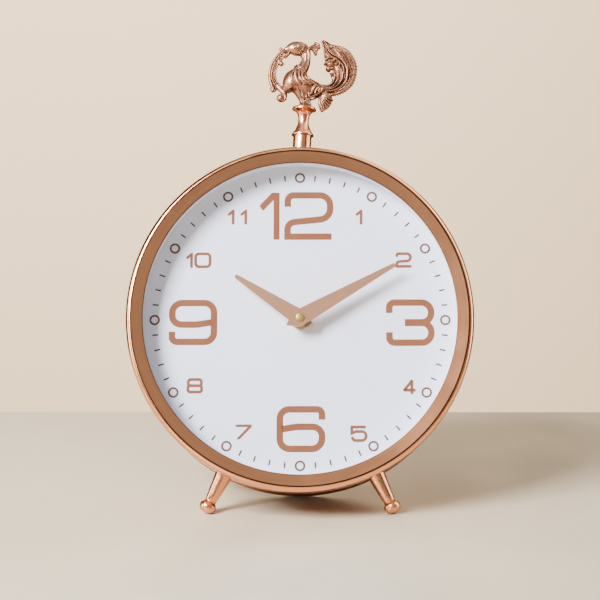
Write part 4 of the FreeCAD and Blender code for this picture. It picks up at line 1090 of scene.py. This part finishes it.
# %% Curl the rosette, the leaf tip and the tuft
rosette = ((11.8, 24.3, 1.85), (11.1, 21.9, 1.45), (9.3, 24.6, 0.8), (9.4, 28.3, 0.65), (15.0, 24.7, 1.1),
           (13.0, 22.2, 1.0), (13.7, 26.5, 1.1), (12.9, 19.4, 0.6), (13.4, 18.3, 0.5), (9.9, 26.5, 0.7),
           (13.4, 8.4, 0.9))
for x, y, size in rosette:
    ball_at(x, y, 0, size, 1.5 + size * 0.75)
curl = ((9.8, 26.8, 0.35), (11.8, 27.9, 0.5), (14.5, 27.3, 0.55), (16.6, 25.2, 0.5), (16.3, 22.7, 0.35))
limb(curl, deep=2.2)
leaf_rims = (((6.8, 36.6, 0.35), (7.6, 34.4, 0.4), (8.2, 32.0, 0.4), (8.7, 29.8, 0.4), (9.3, 28.3, 0.35)),
             ((7.2, 37.1, 0.35), (9.7, 36.1, 0.4), (11.8, 34.6, 0.4), (12.3, 33.5, 0.35), (11.3, 32.6, 0.25)))
for rows in leaf_rims:
    limb(rows, deep=1.7)
tuft_ends = ((14.4, 6.6), (14.8, 5.2), (14.0, 3.6), (12.9, 2.1), (11.7, 0.8), (10.5, -0.2),
             (9.3, -0.8), (8.2, 0.2), (7.6, 2.0))
tuft_root = np.array((7.0, 8.3))
for far in tuft_ends:
    limb([(*(tuft_root * (1 - t) + np.array(far) * t), wide, deep)
          for t, wide, deep in ((0.08, 0.4, 1.1), (0.5, 0.5, 1.9), (0.96, 0.46, 1.6))], 4, 10)
limb([(7.3, 8.5, 1.4, 1.2), (9.7, 6.2, 3.1, 0.9), (10.9, 3.8, 2.9, 0.85), (9.9, 0.9, 1.5, 0.8)], 6, 18)
limb([(8.6, 10.4, 1.6, 1.6), (10.6, 8.9, 1.7, 1.6), (12.9, 7.6, 1.3, 1.5)], 5, 16)
ball_at(9.2, 0.0, 0, 1.0, 1.4)
print("rosette and tuft", len(cast_faces), "faces")

# %% Hang the garland
garland_rim = ((-11.7, 30.4), (-13.7, 29.4), (-16.2, 26.2), (-18.1, 22.4), (-18.9, 18.1), (-18.5, 14.1),
               (-17.3, 11.1), (-16.4, 9.8))
garland_edge = ((-10.4, 29.2), (-12.0, 27.3), (-14.0, 24.4), (-15.4, 21.2), (-15.9, 17.9), (-15.3, 15.1),
                (-13.7, 12.5), (-11.4, 9.8))
garland_stem = ((-14.4, 11.7, 1.3, 1.2), (-12.5, 9.7, 1.6, 1.4), (-10.8, 8.0, 1.5, 1.6),
                (-10.1, 6.4, 1.0, 1.4), (-10.3, 4.5, 0.7, 1.2), (-11.8, 3.4, 0.5, 1.0))
rim_line, leaf_line = flow(garland_rim, 5), flow(garland_edge, 5)
limb(rim_line * 0.5 + leaf_line * 0.5, 1, 16, 1.5, 0.65)
limb(rim_line, 1, 14, 0.75, 1.7)
limb(rim_line * 0.66 + leaf_line * 0.34, 1, 10, 0.3, 1.4)
limb(leaf_line, 1, 10, 0.32, 1.3)
limb(garland_stem, 6, 16)
ball_at(-12.4, 5.2, 0, 2.15, 2.2)
limb([(-13.3, 30.2, 0.9, 1.2), (-14.0, 31.1, 0.75, 1.1), (-14.5, 32.1, 0.3, 0.6)], 5, 12)
for x, y, size in ((-13.9, 31.0, 0.95), (-10.5, 27.7, 0.7), (-11.2, 26.9, 0.6), (-13.2, 23.4, 1.35),
                   (-14.3, 24.5, 1.1), (-16.7, 9.1, 1.25), (-17.7, 9.8, 0.65), (-15.7, 8.9, 0.7),
                   (-9.9, 28.8, 0.9)):
    ball_at(x, y, 0, size, 1.3)


def scales(side):
    """Staggered rows of small scales down the inner half of the garland."""
    for k in range(3, len(rim_line) - 3, 2):
        for n, share in enumerate((0.52, 0.71, 0.90)):
            x, y = rim_line[k + n % 2] * (1 - share) + leaf_line[k + n % 2] * share
            ball_at(x, y, side * 0.62, 0.4, 0.65)


both_sides(scales)
print("garland hung", len(cast_faces), "faces")

# %% Seat the casting on its cap
cap_profile = ((6.1, 0.0), (6.1, 0.5), (5.7, 0.85), (4.7, 1.25), (3.8, 1.7), (3.1, 2.3), (2.6, 3.0),
               (2.3, 3.8))
limb([(0.0, height, radius, radius) for radius, height in cap_profile], 1, 64)
print("cap seated", len(cast_faces), "faces")

# %% Melt the limbs into one skin
bird_axes = finial_axes @ spot(0, column_top)
cast = make_piece("peacock_armature", cast_points, cast_faces, bird_axes)
melt = cast.modifiers.new("melt", "REMESH")
melt.mode = "VOXEL"
melt.voxel_size = 0.17 * MM
melt.adaptivity = 0.0
polish = cast.modifiers.new("polish", "SMOOTH")
polish.factor = 0.5
polish.iterations = 3
melted = bpy.data.meshes.new_from_object(cast.evaluated_get(bpy.context.evaluated_depsgraph_get()))
bpy.data.objects.remove(cast)
melted.name = "peacock_cast"
melted.shade_smooth()
dress(add_object("peacock_cast", melted), "case", "copper_cast", "peacock_finial")

# %% [markdown]
# ## The pieces that keep their own shape
# The works, the fixings and the cover are right as they come from the model. They only
# need their finish, and smooth shading where they are round.

# %% Finish the remaining pieces
finishes["hand_copper"] = finishes["hand_lacquer"]
slots = {row["node"]: row["material_slot"] for row in frame["record"]["subparts"]}
for name, part in frame["nodes"].items():
    part.data.materials.clear()
    part.data.materials.append(finishes[slots[name]])
    soften(part.data)
print("finished", len(slots), "nodes")

# %% [markdown]
# ## The back
# From behind one sees the cell in its bay and the three screws of the cover. A cell is a
# steel can with a printed film shrunk over it: the film rolls over the edge at both ends,
# and a dark band marks the plus end. The screws are pan heads with a pressed cross.

# %% Wrap the battery cell
cell_low, cell_high = (Vector(corner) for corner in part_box("battery_cell"))
cell_place = Matrix.Translation((cell_low + cell_high) / 2) @ turned_about("Y", 90)
cell_r, film_r, end_r, nub_r = 7.25, 6.3, 6.1, 2.75
half_cell, can_end, band_start = 25.25, 23.95, 15.0
film_outline = [(film_r, -half_cell + 0.25, 0.1), (cell_r, -half_cell + 0.15, 0.45),
                (cell_r, band_start, 0.0), (cell_r, can_end, 0.45), (film_r, can_end - 0.1, 0.1)]
plus_end = [(end_r, can_end - 0.35, 0.1), (nub_r, can_end - 0.35, 0.2), (nub_r, half_cell, 0.4),
            (0, half_cell, 0)]
cell_outline = eased([(0, -half_cell, 0), (end_r, -half_cell, 0.2)] + film_outline + plus_end, 0)
cell = lathe("wrapped_cell", cell_outline, cell_place, 96)
STEEL, FILM, BAND = 0, 1, 2
for face in cell.data.polygons:
    middle = cell_place.inverted() @ face.center / MM
    on_film = math.hypot(middle.x, middle.y) > (film_r + end_r) / 2
    face.material_index = STEEL if not on_film else BAND if middle.z > band_start else FILM
dress(cell, "battery", "battery_skin", "battery_cell", looks=("zinc_steel", "battery_skin", "battery_band"))

# %% Drive the cover screws
head_r, screw_r, screw_circle_r, cover_rear_z = 2.8, 1.4, 78.5, -35.5
screw_low, screw_high, head_low, head_high = -1.0, 5.0, 0.95, 1.8
arm, slit = 1.55, 0.36
quarter = [(slit, slit), (slit, arm), (-slit, arm)]
cross = [(x * c - y * s, x * s + y * c) for c, s in ((1, 0), (0, 1), (-1, 0), (0, -1)) for x, y in quarter]
screw_outline = [(0, screw_low, 0), (head_r, screw_low, 0), (head_r, 0, 0.1), (screw_r, 0, 0),
                 (screw_r, screw_high, 0.2), (0, screw_high, 0)]
screw_outline = eased([(r, cover_rear_z + z, ease) for r, z, ease in screw_outline], 0)
for number, bearing in enumerate((60, 180, 300)):
    place = clock_axes @ spot(*polar(screw_circle_r, bearing)) @ turned_about("Z", 20 + 35 * number)
    name = "cover_screw_%d" % (number + 1)
    dress(lathe(name, screw_outline, place, 48), "case", "zinc_steel", "cover_screws")
    head = plate(name + "_head", [circle(head_r, 48), cross], head_low - cover_rear_z,
                 head_high - cover_rear_z, 0.3, place @ turned_about("X", 180))
    dress(head, "case", "zinc_steel")

# %% [markdown]
# ## The table and the wall
# The clock stands on a pale, smooth stone top in front of a beige wall. The stone has broad
# soft clouds and a fine fleck, and the wall shows the faint texture of a paint roller.

# %% Lay the table and the wall
def stage_sheet(name, corners, look):
    """Flat stage piece through four corners."""
    mesh = bpy.data.meshes.new(name)
    mesh.from_pydata(corners, [], [(0, 1, 2, 3)])
    mesh.materials.append(finishes[look])
    add_object(name, mesh)


tree, shader = finish("stone_top")
here = node(tree, "TexCoord").outputs["Object"]
cloudy = noise(tree, here, 9.0, 6.0, Roughness=0.6, Distortion=0.8)
fleck = noise(tree, here, 160.0, 3.0)
tone = blend(tree, spread(tree, cloudy, 0.3, 0.7), (0.515, 0.437, 0.309, 1), (0.587, 0.499, 0.355, 1))
tone = blend(tree, times(tree, spread(tree, fleck, 0.55, 0.75), 0.12), tone, (0.36, 0.29, 0.21, 1))
feed(tree, shader, Base_Color=tone, Roughness=spread(tree, cloudy, 0.2, 0.8, 0.34, 0.5),
     Normal=bumped(tree, fleck, 0.01))

tree, shader = finish("wall_paint")
roller = noise(tree, node(tree, "TexCoord").outputs["Object"], 60.0, 3.0)
feed(tree, shader, Base_Color=blend(tree, roller, (0.75, 0.535, 0.32, 1), (0.77, 0.555, 0.34, 1)),
     Roughness=0.9)

table_half, table_near, table_far = 0.8, -0.9, 0.217
stage_sheet("table_top", [(-table_half, table_near, 0), (table_half, table_near, 0),
                          (table_half, table_far, 0), (-table_half, table_far, 0)], "stone_top")
wall_half, wall_far, wall_low, wall_high = 0.58, 1.7, -0.5, 1.05
stage_sheet("wall", [(-wall_half, wall_far, wall_low), (wall_half, wall_far, wall_low),
                     (wall_half, wall_far, wall_high), (-wall_half, wall_far, wall_high)], "wall_paint")
print("table and wall laid")

# %% [markdown]
# ## The light
# The key light is a soft box high on the left, which throws the hands' shadows down to the
# right. A strip on the left draws the bright line on the polished rims. Two cards, one at
# the right and one above, are seen only in reflections and put the last beads of light on
# the metal. A broad room light and a ceiling open the shadows, and two long washes, one
# high and one low, light the wall evenly.

# %% Hang the lights
WHITE, WARM, WARM_WASH, COOL = (1, 1, 1), (1.0, 0.97, 0.94), (1.0, 0.98, 0.95), (0.95, 0.96, 1.0)


def hang(name, spot_m, aim_m, size, radiance, colour=WHITE, card=False):
    """Oblong light at a point, facing another; a card only shows up in reflections."""
    data = bpy.data.lights.new(name, "AREA")
    data.shape = "RECTANGLE"
    data.size, data.size_y = size
    data.energy = radiance * math.pi * size[0] * size[1]
    data.color = colour
    lamp = add_object(name, data)
    away = (Vector(spot_m) - Vector(aim_m)).normalized()
    lamp.matrix_world = Matrix.Translation(spot_m) @ away.to_track_quat("Z", "Y").to_matrix().to_4x4()
    lamp.visible_diffuse = not card


def round_the_dial(name, way, distance, *light):
    """Light that faces the dial's centre, in a direction of the clock's axes."""
    hang(name, clock_axes @ (Vector(way).normalized() * distance), clock_axes.translation, *light)


round_the_dial("key_light", (-0.58, 0.37, 0.79), 1.3, (0.5, 0.5), 95.0, COOL)
round_the_dial("left_strip", (-1.0, 0.0, 0.12), 1.0, (0.3, 0.9), 12.0)
round_the_dial("right_card", (1.0, 0.3, 0.1), 1.0, (0.6, 1.2), 5.0, WARM, True)
round_the_dial("top_card", (0.6, 1.0, 0.1), 1.1, (1.3, 0.6), 3.2, WARM, True)
round_the_dial("room_light", (0.1, 0.2, 1.0), 2.2, (2.6, 2.2), 0.38)
hang("ceiling", (0.0, -0.2, 1.9), (0.0, 0.0, 0.1), (1.4, 1.4), 1.3)
hang("wall_wash", (-0.45, 0.35, 0.9), (-0.45, wall_far, 0.9), (2.4, 0.5), 20.0, WARM_WASH)
hang("low_wash", (-0.45, 0.5, -0.45), (-0.45, wall_far, -0.45), (2.0, 0.3), 10.0, WARM_WASH)
world = bpy.data.worlds.new("studio")
world.use_nodes = True
sky = world.node_tree.nodes["Background"]
sky.inputs[0].default_value = (1.0, 0.95, 0.9, 1)
sky.inputs[1].default_value = 0.07
bpy.context.scene.world = world
print("lights", len(bpy.data.lights))
